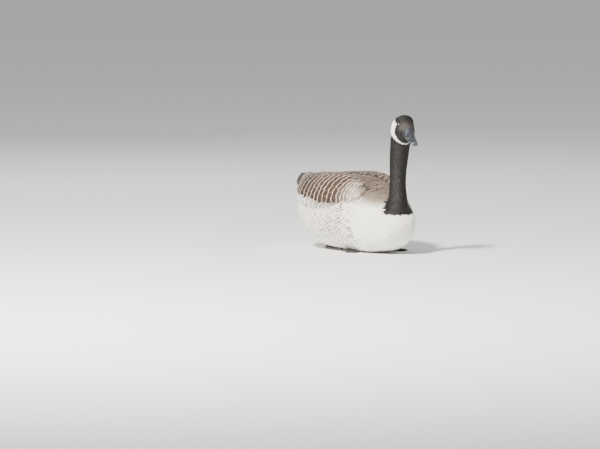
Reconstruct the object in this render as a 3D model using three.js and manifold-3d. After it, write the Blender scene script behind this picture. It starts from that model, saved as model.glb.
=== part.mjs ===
// Canada goose resting on its belly with its neck upright, life size, in millimetres, +Z up.
// The goose faces -Y. A place along the body is given as f, the distance forward of the origin, so y = -f.
// x is positive on the goose's left, and the floor under the belly is z = 0.
import * as THREE from "three";
import { mergeVertices } from "three/addons/utils/BufferGeometryUtils.js";
import { LoftGeometry } from "three/addons/geometries/LoftGeometry.js";
import Module from "manifold-3d";

const wasm = await Module();
wasm.setup();

// Driving dimensions
const GAP = 0.3; // clear space kept between neighbouring pieces
const MERGE = 1e-4; // vertices closer than this are one
const SLIVER = 0.04; // triangles thinner than this are closed up
const LEFT = 1;
const RIGHT = -1;

// Torso: place along the body, back height, belly height, half width, height of the widest line
const TORSO = [
  { f: 227, top: 96, bottom: 84, half: 6, wide: 89 },
  { f: 222, top: 108, bottom: 66, half: 25, wide: 88 },
  { f: 208, top: 125, bottom: 44, half: 43, wide: 88 },
  { f: 185, top: 143, bottom: 25, half: 55, wide: 89 },
  { f: 150, top: 159, bottom: 11, half: 66, wide: 92 },
  { f: 100, top: 175, bottom: 3, half: 85, wide: 97 },
  { f: 50, top: 187, bottom: -2, half: 100, wide: 101 },
  { f: 0, top: 194, bottom: -2.5, half: 110, wide: 104 },
  { f: -50, top: 196, bottom: -2, half: 117, wide: 106 },
  { f: -100, top: 195, bottom: 1, half: 120, wide: 108 },
  { f: -150, top: 192, bottom: 12, half: 117, wide: 110 },
  { f: -200, top: 186, bottom: 34, half: 104, wide: 113 },
  { f: -250, top: 176, bottom: 70, half: 74, wide: 122 },
  { f: -285, top: 165, bottom: 106, half: 45, wide: 136 },
  { f: -306, top: 154, bottom: 134, half: 17, wide: 145 },
];
const TORSO_ROUND = { over: 2.05, under: 2.6 }; // superellipse powers over and under the widest line
const TORSO_STEPS = 2; // rings for each table row
const TORSO_SIDES = 24;

// Neck: height, centre f, half depth, half width
const NECK = [
  { z: 96, f: 172, deep: 48, half: 46 },
  { z: 112, f: 178, deep: 41, half: 39 },
  { z: 126, f: 185, deep: 33, half: 31 },
  { z: 141, f: 189.5, deep: 27.5, half: 25.3 },
  { z: 156, f: 190, deep: 24.5, half: 22.8 },
  { z: 187, f: 190, deep: 22.3, half: 20.7 },
  { z: 217, f: 191, deep: 23, half: 21.4 },
  { z: 247, f: 195, deep: 25, half: 23.2 },
  { z: 276, f: 200, deep: 27, half: 24.6 },
  { z: 296, f: 205, deep: 28, half: 25.5 },
  { z: 314, f: 209, deep: 28, half: 26.5 },
  { z: 330, f: 209, deep: 23, half: 23 },
];
const NECK_SIDES = 18;
const NECK_BASE_CUT = { f: 190, z: 136, lean: 0.74 }; // lean: drop of the cut for each millimetre forward
const NECK_MIDDLE_CUT = { f: 190, z: 205, lean: 0 };
const NECK_HEAD_CUT = { f: 206, z: 300, lean: 0.25 };

// Head: placed by the point midway between the eyes, then turned
const HEAD_AT = { x: 3.8, f: 228.4, z: 342.5 };
const HEAD_PITCH = 19.5; // degrees, bill down
const HEAD_ROLL = 5.5; // degrees, left side down
const HEAD_YAW = -3.3; // degrees, to the goose's left
// Head sections: a is forward of the eyes; top, bottom and wide are heights over the eyes
const HEAD = [
  { a: -39.5, top: -2, bottom: -18, half: 8, wide: -9, round: 2 },
  { a: -35.5, top: 9, bottom: -32, half: 19, wide: -12, round: 2.1 },
  { a: -26, top: 19, bottom: -44, half: 27.5, wide: -15, round: 2.3 },
  { a: -14, top: 25, bottom: -50, half: 31, wide: -18, round: 2.4 },
  { a: -2, top: 24.5, bottom: -51, half: 31, wide: -20, round: 2.4 },
  { a: 10, top: 19, bottom: -47, half: 27, wide: -19, round: 2.2 },
  { a: 20, top: 10.5, bottom: -37, half: 20, wide: -16, round: 2 },
  { a: 28, top: 1, bottom: -27, half: 14, wide: -13.5, round: 2 },
];
const HEAD_UNDER_ROUND = 2.35; // superellipse power under the widest line; round is the one over it
const HEAD_STEPS = 2;
const HEAD_SIDES = 18;

const EYE = { radius: 6.7, out: 16.9, a: -4, c: 0 };
const ORBIT = { deep: 10.5, wide: 7.5 }; // hollow in the side of the head round the eye
const LID = { ring: 5.9, thick: 1.35, lift: 0.4 };

// Bill sections: upper mandible roof, half width; both meet along the line of the mouth
const BILL_UPPER = [
  { a: 14, top: 5, half: 15 },
  { a: 26, top: 2.2, half: 15.4 },
  { a: 37, top: -4, half: 14.2 },
  { a: 50, top: -10, half: 12.8 },
  { a: 62, top: -14, half: 11.6 },
  { a: 71, top: -16.8, half: 9.8 },
  { a: 77.5, top: -19.6, half: 6.8 },
  { a: 80.5, top: -22.6, half: 3.4 },
];
const BILL_LOWER = [
  { a: 14, bottom: -26.5, half: 12.4 },
  { a: 26, bottom: -27, half: 12.4 },
  { a: 40, bottom: -27, half: 11 },
  { a: 56, bottom: -26.6, half: 9.4 },
  { a: 68, bottom: -26, half: 8 },
  { a: 75, bottom: -25.2, half: 5.6 },
];
const MOUTH_LINE = { a0: 14, c0: -15.4, a1: 80, c1: -22.4 }; // where the mandibles meet
const MOUTH_GAP = 0.5;
const BILL_SIDES = 11;
const NOSTRIL = { a: 47, b: 10.9, c: -12, long: 8, high: 2.6, depth: 2.2 };
const NAIL = { start: 68, half: 5.6, rise: 0.9 };

// Wing: upper and lower edge of the folded wing, and how far it swells over the line between them
const WING = [
  { f: 108, ux: 48, uz: 164, lx: 62, lz: 154, swell: 3 },
  { f: 97, ux: 43, uz: 172, lx: 72, lz: 148, swell: 8 },
  { f: 60, ux: 39, uz: 185, lx: 90, lz: 137, swell: 14 },
  { f: 0, ux: 37, uz: 198, lx: 113, lz: 129, swell: 23 },
  { f: -60, ux: 34, uz: 201, lx: 124, lz: 126, swell: 27 },
  { f: -120, ux: 29, uz: 198, lx: 124, lz: 126, swell: 27 },
  { f: -180, ux: 24, uz: 194, lx: 112, lz: 130, swell: 24 },
  { f: -240, ux: 20, uz: 190, lx: 88, lz: 142, swell: 18 },
  { f: -290, ux: 18, uz: 188, lx: 66, lz: 156, swell: 11 },
  { f: -325, ux: 19, uz: 188, lx: 54, lz: 165, swell: 6 },
  { f: -342, ux: 26, uz: 186, lx: 46, lz: 173, swell: 3 },
];
const WING_STEPS = 1;
const WING_SIDES = 14;
const WING_CORE_END = -236; // the flesh of the wing ends here, and only feathers go on
const WING_CORE_TIP = { f: -262, shrink: 0.35 };
const WING_SINK = 0.2; // depth of the ring's centre, as a share of its half width
const WING_LONG = 1.03; // length of the ring's half axis, as a share of the same

// Feathers are thin vanes: stations from root to tip, with the share of the full width at each
const COVERT_SHAPE = [
  { s: 0, width: 0.62 },
  { s: 0.55, width: 1 },
  { s: 0.85, width: 0.86 },
  { s: 1, width: 0.5 },
];
const LONG_SHAPE = [
  { s: 0, width: 0.6 },
  { s: 0.4, width: 1 },
  { s: 0.75, width: 0.95 },
  { s: 0.93, width: 0.68 },
  { s: 1, width: 0.26 },
];
const VANE = { thick: 0.95, tipThick: 0.6, rootLift: -2.4, tipLift: 2.5, shingle: 0.8, bow: 0.1 };

// Coverts: rows over the wing, each with its f at the root, its length and its count
const COVERT_ROWS = [
  { f: 84, long: 50, count: 3, low: 0.8, high: 2.3 },
  { f: 50, long: 58, count: 4, low: 0.62, high: 2.5 },
  { f: 10, long: 64, count: 4, low: 0.56, high: 2.58 },
  { f: -34, long: 68, count: 5, low: 0.44, high: 2.68 },
  { f: -80, long: 72, count: 5, low: 0.44, high: 2.68 },
  { f: -128, long: 78, count: 5, low: 0.48, high: 2.66 },
];
const COVERT_COVER = 1.42; // width of a covert as a share of the spacing in its row
const COVERT_STAGGER = { first: 0.25, shift: 0.5 }; // start of a row, and the shift of every other row, in spacings
const UNEVEN = { covert: 3, flight: 2 }; // most that a feather's end is off its tier's line
const WING_SEED = { left: 4177, right: 6203 };

// Flight feathers of the folded wing, each tier from its lowest feather to its highest
const SECONDARIES = { count: 5, f0: -172, f1: -186, tip0: -236, tip1: -276, low: 0.5, high: 1.5, wide: 30, lift: 0.4 };
const TERTIALS = { count: 5, f0: -150, f1: -140, tip0: -290, tip1: -316, low: 1.55, high: 2.62, wide: 36, lift: 1.9 };
const PRIMARIES = { count: 6, f0: -214, f1: -222, tip0: -302, tip1: -343, low: 0.8, high: 2.3, wide: 21, lift: -1.6 };

// Tail: flesh behind the rump with a fan of feathers in pairs, the middle pair on top
const TAIL = { rootF: -264, rootX0: 1.5, rootX1: 18, tipX0: 4, tipX1: 49, rootZ: 156, tipZ: 158, pairs: 7 };
const TAIL_VANE = { wide: 23, thick: 0.8, lie: 0.35 }; // lie: how much of a vane's usual rise is kept in the fan
const TAIL_TIP = { f: -347, round: 17 }; // f of the middle feathers' tips, and how much shorter the outer ones are
const TAIL_STEP = 1.05; // drop from one pair to the next
const TAIL_SIDE_STEP = 0.47; // drop of the right feather of a pair under the left one
const TAIL_CUT = -262;

// Legs and feet, folded under the belly
const LEG = { x: 69, heelF: -92, ankleF: -4, radius: 5.4, kneeX: 68, kneeF: -60, kneeZ: 36, kneeRadius: 12 };
const FOOT = {
  ankleF: -2,
  toes: [
    { x: 57, f: 62 },
    { x: 70, f: 78 },
    { x: 85, f: 64 },
  ],
  toeRadius: 4.2,
  web: 3.2,
};

// Materials
function material(color, roughness) {
  return new THREE.MeshStandardMaterial({ color, roughness, metalness: 0 });
}

const blackPlumage = () => material(0x17140f, 0.75);
const headPlumage = () => material(0x1c1916, 0.7);
const bodyPlumage = () => material(0xb9aa96, 0.85);
const wingPlumage = () => material(0x6e5a48, 0.8);
const tailPlumage = () => material(0x241d18, 0.7);
const billHorn = () => material(0x20242a, 0.35);
const eyeGloss = () => material(0x1a0f08, 0.08);
const legSkin = () => material(0x26241f, 0.55);

// Geometry helpers
function at(x, f, z) {
  return new THREE.Vector3(x, -f, z);
}

function signedPower(value, power) {
  return Math.sign(value) * Math.abs(value) ** power;
}

// A smooth value between the rows of a table, t counted in rows
function between(rows, key, t) {
  const last = rows.length - 1;
  const i = Math.min(Math.floor(t), last - 1);
  const s = t - i;
  const p0 = rows[Math.max(i - 1, 0)][key];
  const p1 = rows[i][key];
  const p2 = rows[i + 1][key];
  const p3 = rows[Math.min(i + 2, last)][key];
  const bend = 2 * p0 - 5 * p1 + 4 * p2 - p3;
  const twist = 3 * (p1 - p2) + p3 - p0;
  return p1 + 0.5 * s * (p2 - p0 + s * (bend + s * twist));
}

function rowAt(rows, t) {
  return Object.fromEntries(Object.keys(rows[0]).map((key) => [key, between(rows, key, t)]));
}

// All the rows of a table with smooth ones put in between
function refined(rows, steps) {
  const count = (rows.length - 1) * steps;
  return Array.from({ length: count + 1 }, (_, i) => rowAt(rows, i / steps));
}

// A closed solid of one geometry
function solidOf(geometry) {
  const bare = geometry.index ? geometry.toNonIndexed() : geometry.clone();
  const points = new THREE.BufferGeometry().setAttribute("position", bare.getAttribute("position"));
  const merged = mergeVertices(points, MERGE);
  const vertProperties = merged.getAttribute("position").array;
  const triVerts = new Uint32Array(merged.index.array);
  return new wasm.Manifold(new wasm.Mesh({ numProp: 3, vertProperties, triVerts }));
}

function middleOf(points) {
  return points.reduce((sum, p) => sum.add(p), new THREE.Vector3()).divideScalar(points.length);
}

// A closed loft through rings, which are wound one way round whichever side they were made for
function loft(rings) {
  const first = rings[0];
  const centre = middleOf(first);
  const facing = new THREE.Vector3();
  first.forEach((p, i) => {
    const next = first[(i + 1) % first.length].clone().sub(centre);
    facing.add(p.clone().sub(centre).cross(next));
  });
  const onward = middleOf(rings[1]).sub(centre);
  const wound = facing.dot(onward) > 0 ? rings : rings.map((ring) => [...ring].reverse());
  return solidOf(new LoftGeometry(wound, { capStart: true, capEnd: true }));
}

function joined(pieces) {
  return pieces.reduce((sum, piece) => sum.add(piece));
}

function largest(solid) {
  return solid.decompose().reduce((best, body) => (body.volume() > best.volume() ? body : best));
}

function cutBy(solid, tools) {
  return tools.reduce((rest, tool) => rest.subtract(tool), solid);
}

// The two parts of a solid on either side of a plane across the neck, a gap apart
function partedAt(solid, cut) {
  const normal = at(0, cut.lean, 1).normalize();
  const offset = normal.dot(at(0, cut.f, cut.z));
  const up = normal.toArray();
  const down = normal.clone().negate().toArray();
  return {
    above: solid.trimByPlane(up, offset + GAP / 2),
    below: solid.trimByPlane(down, -offset + GAP / 2),
  };
}

function meshOf(name, solid, finish) {
  const mesh = largest(solid).simplify(SLIVER).getMesh();
  const geometry = new THREE.BufferGeometry()
    .setAttribute("position", new THREE.BufferAttribute(new Float32Array(mesh.vertProperties), 3))
    .setIndex(new THREE.BufferAttribute(new Uint32Array(mesh.triVerts), 1));
  geometry.computeVertexNormals();
  const made = new THREE.Mesh(geometry, finish);
  made.name = name;
  return made;
}

// The place of f in a table, counted in rows
function rowOf(rows, f) {
  const next = rows.findIndex((row, i) => i > 0 && row.f <= f);
  const i = next < 0 ? rows.length - 1 : next;
  return i - 1 + THREE.MathUtils.clamp((rows[i - 1].f - f) / (rows[i - 1].f - rows[i].f), 0, 1);
}

// Draws that are the same at each build
function drawsFrom(seed) {
  let state = seed;
  return () => {
    state = (state * 16807) % 2147483647;
    return state / 2147483647;
  };
}

// Feathers: a closed plate between an upper and a lower grid of points, both split alike
function plateSolid(upper, lower) {
  const rows = upper.length;
  const columns = upper[0].length;
  const points = [...upper.flat(), ...lower.flat()];
  const index = (face, r, c) => face * rows * columns + r * columns + c;
  const faces = [];
  const quad = (p, q, r, t) => faces.push(p, q, r, p, r, t);
  for (let r = 0; r + 1 < rows; r++) {
    for (let c = 0; c + 1 < columns; c++) {
      quad(index(0, r, c), index(0, r, c + 1), index(0, r + 1, c + 1), index(0, r + 1, c));
      quad(index(1, r, c), index(1, r + 1, c), index(1, r + 1, c + 1), index(1, r, c + 1));
    }
    quad(index(0, r, 0), index(0, r + 1, 0), index(1, r + 1, 0), index(1, r, 0));
    quad(index(0, r, columns - 1), index(1, r, columns - 1), index(1, r + 1, columns - 1), index(0, r + 1, columns - 1));
  }
  for (let c = 0; c + 1 < columns; c++) {
    quad(index(0, 0, c), index(1, 0, c), index(1, 0, c + 1), index(0, 0, c + 1));
    quad(index(0, rows - 1, c), index(0, rows - 1, c + 1), index(1, rows - 1, c + 1), index(1, rows - 1, c));
  }
  const geometry = new THREE.BufferGeometry().setFromPoints(points).setIndex(faces);
  const plate = solidOf(geometry);
  return plate.volume() > 0 ? plate : solidOf(geometry.setIndex([...faces].reverse()));
}

// A vane over a surface: place(s, across, out) gives the point s along it, across from its shaft and out from it
function vaneSolid(shape, place, { thick = VANE.thick, lift = 0, rise = VANE.tipLift } = {}) {
  const faceAt = (depth) =>
    shape.map(({ s, width }) =>
      [-1, 0, 1].map((v) => {
        const along = s * (1 - VANE.bow * v * v);
        const out = lift + VANE.rootLift + (rise - VANE.rootLift) * along + VANE.shingle * v;
        const deep = depth * THREE.MathUtils.lerp(thick, Math.min(thick, VANE.tipThick), along);
        return place(along, v * width, out - deep);
      }),
    );
  return plateSolid(faceAt(0), faceAt(1));
}

// Torso
function torsoRing(row, grow) {
  return Array.from({ length: TORSO_SIDES }, (_, i) => {
    const angle = (i / TORSO_SIDES) * 2 * Math.PI;
    const over = Math.cos(angle) > 0;
    const rise = over ? row.top - row.wide : row.wide - row.bottom;
    const power = 2 / (over ? TORSO_ROUND.over : TORSO_ROUND.under);
    const x = (row.half + grow) * signedPower(Math.sin(angle), power);
    const z = row.wide + (rise + grow) * signedPower(Math.cos(angle), power);
    return at(x, row.f, z);
  });
}

function torsoSolid(grow) {
  return loft(refined(TORSO, TORSO_STEPS).map((row) => torsoRing(row, grow)));
}

// Neck
function neckSolid() {
  return loft(
    NECK.map((row) =>
      Array.from({ length: NECK_SIDES }, (_, i) => {
        const angle = (i / NECK_SIDES) * 2 * Math.PI;
        return at(row.half * Math.sin(angle), row.f + row.deep * Math.cos(angle), row.z);
      }),
    ),
  );
}

// Head: its own axes are a forward, b to the left and c up
const headTurn = new THREE.Matrix4()
  .makeTranslation(at(HEAD_AT.x, HEAD_AT.f, HEAD_AT.z))
  .multiply(new THREE.Matrix4().makeRotationZ(THREE.MathUtils.degToRad(HEAD_YAW)))
  .multiply(new THREE.Matrix4().makeRotationX(THREE.MathUtils.degToRad(HEAD_PITCH)))
  .multiply(new THREE.Matrix4().makeRotationY(THREE.MathUtils.degToRad(HEAD_ROLL)));

function onHead(a, b, c) {
  return at(b, a, c).applyMatrix4(headTurn);
}

function headRing(row) {
  return Array.from({ length: HEAD_SIDES }, (_, i) => {
    const angle = (i / HEAD_SIDES) * 2 * Math.PI;
    const over = Math.cos(angle) > 0;
    const rise = over ? row.top - row.wide : row.wide - row.bottom;
    const power = 2 / (over ? row.round : HEAD_UNDER_ROUND);
    const c = row.wide + rise * signedPower(Math.cos(angle), power);
    const near = Math.exp(-((row.a - EYE.a) ** 2 + (c - EYE.c) ** 2) / (2 * ORBIT.wide ** 2));
    const full = row.half * signedPower(Math.sin(angle), power);
    return onHead(row.a, full - Math.sign(full) * Math.min(ORBIT.deep * near, Math.abs(full) / 2), c);
  });
}

function headSolid() {
  return loft(refined(HEAD, HEAD_STEPS).map(headRing));
}

function eyeSolid(side, radius) {
  const ball = new THREE.SphereGeometry(radius, 12, 8);
  ball.applyMatrix4(new THREE.Matrix4().makeTranslation(side * EYE.out, -EYE.a, EYE.c));
  return solidOf(ball.applyMatrix4(headTurn));
}

// The ring of the lids, where the eyeball comes out of the head
function lidSolid(side) {
  const out = EYE.out + Math.sqrt(EYE.radius ** 2 - LID.ring ** 2) + LID.lift;
  const ring = new THREE.TorusGeometry(LID.ring, LID.thick, 5, 14);
  ring.rotateY(Math.PI / 2);
  ring.applyMatrix4(new THREE.Matrix4().makeTranslation(side * out, -EYE.a, EYE.c));
  return solidOf(ring.applyMatrix4(headTurn));
}

// Bill
function mouthHeight(a) {
  const share = (a - MOUTH_LINE.a0) / (MOUTH_LINE.a1 - MOUTH_LINE.a0);
  return THREE.MathUtils.lerp(MOUTH_LINE.c0, MOUTH_LINE.c1, share);
}

// Half a superellipse over or under the line of the mouth
function mandibleRing(a, half, reach, level) {
  return Array.from({ length: BILL_SIDES }, (_, i) => {
    const angle = (i / (BILL_SIDES - 1)) * Math.PI;
    const b = half * signedPower(Math.cos(angle), 0.85);
    const c = level + reach * signedPower(Math.sin(angle), 0.85);
    return onHead(a, b, c);
  });
}

function upperBillSolid() {
  return loft(
    refined(BILL_UPPER, 2).map((row) => {
      const level = mouthHeight(row.a) + MOUTH_GAP / 2;
      return mandibleRing(row.a, row.half, Math.max(row.top - level, 0.4), level);
    }),
  );
}

function lowerBillSolid() {
  return loft(
    refined(BILL_LOWER, 2).map((row) => {
      const level = mouthHeight(row.a) - MOUTH_GAP / 2;
      return mandibleRing(row.a, row.half, Math.min(row.bottom - level, -0.4), level);
    }),
  );
}

// The horny nail over the tip of the upper mandible
function nailSolid() {
  const rows = refined(BILL_UPPER, 2).filter((row) => row.a > NAIL.start);
  return loft(
    rows.map((row) => {
      const level = mouthHeight(row.a) + MOUTH_GAP / 2;
      const half = Math.min(NAIL.half, row.half + NAIL.rise);
      return mandibleRing(row.a + NAIL.rise, half, Math.max(row.top - level, 0.4) + NAIL.rise, level);
    }),
  );
}

function nostrilSolid(side) {
  const slot = new THREE.CapsuleGeometry(NOSTRIL.high / 2, NOSTRIL.long - NOSTRIL.high, 1, 7);
  slot.rotateX(THREE.MathUtils.degToRad(12));
  slot.scale(NOSTRIL.depth, 1, 1);
  slot.applyMatrix4(new THREE.Matrix4().makeTranslation(side * NOSTRIL.b, -NOSTRIL.a, NOSTRIL.c));
  return solidOf(slot.applyMatrix4(headTurn));
}

// Wing: a point over the swelling between its upper and its lower edge, angle 0 at the lower one
function wingPoint(row, side, angle, out) {
  const upper = new THREE.Vector2(row.ux, row.uz);
  const lower = new THREE.Vector2(row.lx, row.lz);
  const along = lower.clone().sub(upper);
  const half = along.length() / 2;
  along.normalize();
  const outward = new THREE.Vector2(-along.y, along.x);
  const sink = half * WING_SINK;
  const middle = upper.clone().add(lower).multiplyScalar(0.5).addScaledVector(outward, -sink);
  const p = middle
    .addScaledVector(along, (half * WING_LONG + out) * Math.cos(angle))
    .addScaledVector(outward, (row.swell + sink + out) * Math.sin(angle));
  return at(side * p.x, row.f, p.y);
}

function wingCore(side) {
  const rows = refined(WING, WING_STEPS).filter((row) => row.f > WING_CORE_END);
  const end = rowAt(WING, rowOf(WING, WING_CORE_END));
  const ringAt = (row, shrink) =>
    Array.from({ length: WING_SIDES }, (_, i) => {
      const angle = (i / WING_SIDES) * 2 * Math.PI;
      return wingPoint(row, side, angle, -shrink);
    });
  const rings = rows.map((row) => ringAt(row, 0));
  rings.push(ringAt({ ...end, f: WING_CORE_END }, 2));
  const tip = ringAt({ ...end, f: WING_CORE_TIP.f }, 2);
  const centre = middleOf(tip);
  rings.push(tip.map((p) => p.lerp(centre, 1 - WING_CORE_TIP.shrink)));
  return loft(rings);
}

// One feather of the wing, from its root to its tip along f and round the ring
function wingFeather(side, shape, { f, tip, angle, tipAngle, wide, lift, rise }) {
  const place = (s, across, out) => {
    const here = THREE.MathUtils.lerp(f, tip, s);
    const row = { ...rowAt(WING, rowOf(WING, here)), f: here };
    const turn = THREE.MathUtils.lerp(angle, tipAngle, s);
    const step = wingPoint(row, side, turn, 0).distanceTo(wingPoint(row, side, turn + 0.1, 0)) * 10;
    return wingPoint(row, side, turn + (across * wide) / 2 / step, out);
  };
  return vaneSolid(shape, place, { lift, rise });
}

function coverts(side, draw) {
  return COVERT_ROWS.flatMap((row, r) =>
    Array.from({ length: row.count }, (_, i) => {
      const start = COVERT_STAGGER.first + COVERT_STAGGER.shift * (r % 2);
      const share = (i + start) / (row.count - COVERT_STAGGER.first);
      const angle = THREE.MathUtils.lerp(row.low, row.high, Math.min(share, 1));
      const middle = { ...rowAt(WING, rowOf(WING, row.f - row.long / 2)), f: row.f };
      const low = wingPoint(middle, side, row.low, 0);
      const spacing = low.distanceTo(wingPoint(middle, side, row.high, 0)) / row.count;
      return wingFeather(side, COVERT_SHAPE, {
        f: row.f + UNEVEN.covert * draw(),
        tip: row.f - row.long - UNEVEN.covert * draw(),
        angle,
        tipAngle: angle,
        wide: spacing * COVERT_COVER,
        lift: 0,
        rise: VANE.tipLift,
      });
    }),
  );
}

function flightFeathers(side, tier, draw) {
  return Array.from({ length: tier.count }, (_, i) => {
    const share = i / (tier.count - 1);
    const angle = THREE.MathUtils.lerp(tier.low, tier.high, share);
    return wingFeather(side, LONG_SHAPE, {
      f: THREE.MathUtils.lerp(tier.f0, tier.f1, share),
      tip: THREE.MathUtils.lerp(tier.tip0, tier.tip1, share) + UNEVEN.flight * draw(),
      angle,
      tipAngle: angle,
      wide: tier.wide,
      lift: tier.lift,
      rise: 1,
    });
  });
}

function wingSolid(side) {
  const draw = drawsFrom(side === LEFT ? WING_SEED.left : WING_SEED.right);
  const feathers = [
    ...coverts(side, draw),
    ...flightFeathers(side, TERTIALS, draw),
    ...flightFeathers(side, SECONDARIES, draw),
    ...flightFeathers(side, PRIMARIES, draw),
  ];
  return wasm.Manifold.union([wingCore(side), ...feathers]);
}

// Tail
function tailFeather(side, rank) {
  const share = rank / (TAIL.pairs - 1);
  const tipX = THREE.MathUtils.lerp(TAIL.tipX0, TAIL.tipX1, share);
  const rootX = THREE.MathUtils.lerp(TAIL.rootX0, TAIL.rootX1, share);
  const tipF = TAIL_TIP.f + TAIL_TIP.round * share ** 2;
  const drop = TAIL_STEP * rank + (side === LEFT ? 0 : TAIL_SIDE_STEP);
  const place = (s, across, out) => {
    const x = THREE.MathUtils.lerp(rootX, tipX, s) + (across * TAIL_VANE.wide) / 2;
    const z = THREE.MathUtils.lerp(TAIL.rootZ, TAIL.tipZ, s) - drop;
    return at(side * x, THREE.MathUtils.lerp(TAIL.rootF, tipF, s), z + out * TAIL_VANE.lie);
  };
  return vaneSolid(LONG_SHAPE, place, { thick: TAIL_VANE.thick / TAIL_VANE.lie, rise: 0 });
}

function tailSolid(flesh) {
  const fan = [LEFT, RIGHT].flatMap((side) => Array.from({ length: TAIL.pairs }, (_, rank) => tailFeather(side, rank)));
  return wasm.Manifold.union([flesh, ...fan]);
}

// Legs and feet
function capsuleBetween(from, to, radius) {
  const length = from.distanceTo(to);
  const rod = new THREE.CapsuleGeometry(radius, length, 1, 6);
  const turn = new THREE.Quaternion().setFromUnitVectors(
    new THREE.Vector3(0, 1, 0),
    to.clone().sub(from).normalize(),
  );
  rod.applyQuaternion(turn);
  rod.translate(...from.clone().add(to).multiplyScalar(0.5).toArray());
  return solidOf(rod);
}

function onFloor(solid) {
  return solid.trimByPlane([0, 0, 1], 0);
}

function legSolid(side) {
  const heel = at(side * LEG.x, LEG.heelF, LEG.radius - 1);
  const ankle = at(side * (LEG.x - 2), LEG.ankleF - 6, LEG.radius - 1.2);
  const knee = at(side * LEG.kneeX, LEG.kneeF, LEG.kneeZ);
  const shank = capsuleBetween(heel, ankle, LEG.radius);
  const thigh = capsuleBetween(heel, knee, LEG.kneeRadius * 0.62);
  return onFloor(shank.add(thigh));
}

function footSolid(side) {
  const root = at(side * (LEG.x - 2), FOOT.ankleF + 6, FOOT.toeRadius - 0.8);
  const toes = FOOT.toes.map((toe) =>
    capsuleBetween(root, at(side * toe.x, toe.f, FOOT.toeRadius * 0.8 - 0.8), FOOT.toeRadius * 0.8),
  );
  const outline = [
    [LEG.x - 5, FOOT.ankleF + 6],
    [FOOT.toes[0].x, FOOT.toes[0].f - 4],
    [(FOOT.toes[0].x + FOOT.toes[1].x) / 2, FOOT.toes[0].f - 4],
    [FOOT.toes[1].x, FOOT.toes[1].f - 4],
    [(FOOT.toes[1].x + FOOT.toes[2].x) / 2, FOOT.toes[2].f - 4],
    [FOOT.toes[2].x, FOOT.toes[2].f - 4],
    [LEG.x + 1, FOOT.ankleF + 6],
  ];
  const shape = new THREE.Shape(outline.map(([x, f]) => new THREE.Vector2(side * x, -f)));
  const web = new THREE.ExtrudeGeometry(shape, { depth: FOOT.web, bevelEnabled: false, steps: 1 });
  return onFloor(joined([...toes, solidOf(web)]));
}

// Assembly
function buildGoose() {
  const goose = new THREE.Group();
  const grownTorso = torsoSolid(GAP);
  const body = torsoSolid(0).add(neckSolid());
  const sockets = [LEFT, RIGHT].map((side) => eyeSolid(side, EYE.radius + GAP));
  const head = headSolid().add(lidSolid(LEFT)).add(lidSolid(RIGHT));
  const flesh = cutBy(onFloor(body.add(head)), sockets);

  const base = partedAt(flesh, NECK_BASE_CUT);
  const middle = partedAt(base.above, NECK_MIDDLE_CUT);
  const top = partedAt(middle.above, NECK_HEAD_CUT);
  const backwards = at(0, -1, 0).toArray();
  const rump = base.below.trimByPlane(backwards, -TAIL_CUT + GAP / 2);
  const torso = base.below.trimByPlane(at(0, 1, 0).toArray(), TAIL_CUT + GAP / 2);
  goose.add(meshOf("torso", torso, bodyPlumage()));
  goose.add(meshOf("neck_lower", middle.below, blackPlumage()));
  goose.add(meshOf("neck_upper", top.below, blackPlumage()));
  goose.add(meshOf("head", top.above, headPlumage()));
  const tail = tailSolid(rump);
  goose.add(meshOf("tail", tail, tailPlumage()));

  const grownHead = loft(
    refined(HEAD, HEAD_STEPS).map((row) =>
      headRing({ ...row, a: row.a + GAP, top: row.top + GAP, bottom: row.bottom - GAP, half: row.half + GAP }),
    ),
  );
  const nostrils = [LEFT, RIGHT].map(nostrilSolid);
  const upperBill = cutBy(upperBillSolid().add(nailSolid()), [grownHead, ...nostrils]);
  goose.add(meshOf("bill_upper", upperBill, billHorn()));
  goose.add(meshOf("bill_lower", lowerBillSolid().subtract(grownHead), billHorn()));

  for (const [side, name] of [
    [LEFT, "left"],
    [RIGHT, "right"],
  ]) {
    goose.add(meshOf("eye_" + name, eyeSolid(side, EYE.radius), eyeGloss()));
    goose.add(meshOf("wing_" + name, wingSolid(side).subtract(grownTorso), wingPlumage()));
    goose.add(meshOf("leg_" + name, legSolid(side).subtract(grownTorso), legSkin()));
    goose.add(meshOf("foot_" + name, cutBy(footSolid(side), [grownTorso, legSolid(side)]), legSkin()));
  }
  return goose;
}

export default buildGoose();
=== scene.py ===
"""A Canada goose at life size, resting on its belly with its neck upright, dressed round the frame."""

import math
from functools import partial

import bmesh
import bpy
import numpy as np
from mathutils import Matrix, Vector
from mathutils.bvhtree import BVHTree


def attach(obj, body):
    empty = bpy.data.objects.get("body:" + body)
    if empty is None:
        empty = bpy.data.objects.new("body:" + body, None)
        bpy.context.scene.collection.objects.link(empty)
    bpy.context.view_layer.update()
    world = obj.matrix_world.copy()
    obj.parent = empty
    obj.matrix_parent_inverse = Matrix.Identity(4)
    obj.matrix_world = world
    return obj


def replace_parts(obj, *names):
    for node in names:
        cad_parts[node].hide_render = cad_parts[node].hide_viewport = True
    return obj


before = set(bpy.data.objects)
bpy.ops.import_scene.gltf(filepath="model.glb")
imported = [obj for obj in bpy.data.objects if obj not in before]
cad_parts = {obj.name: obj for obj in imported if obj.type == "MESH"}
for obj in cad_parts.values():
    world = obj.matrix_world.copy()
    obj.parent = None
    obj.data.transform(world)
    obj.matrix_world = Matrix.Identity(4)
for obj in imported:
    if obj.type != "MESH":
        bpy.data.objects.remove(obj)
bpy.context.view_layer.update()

# Driving sizes in millimetres. f is the distance forward of the origin, so y = -f
MM = 0.001
LEFT = 1
RIGHT = -1
SEED = 20417


def word(side):
    return "left" if side == LEFT else "right"


def table(keys, rows):
    """A table of named columns, one row for each section."""
    return dict(zip(keys.split(), np.array(rows, float).T))


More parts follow.
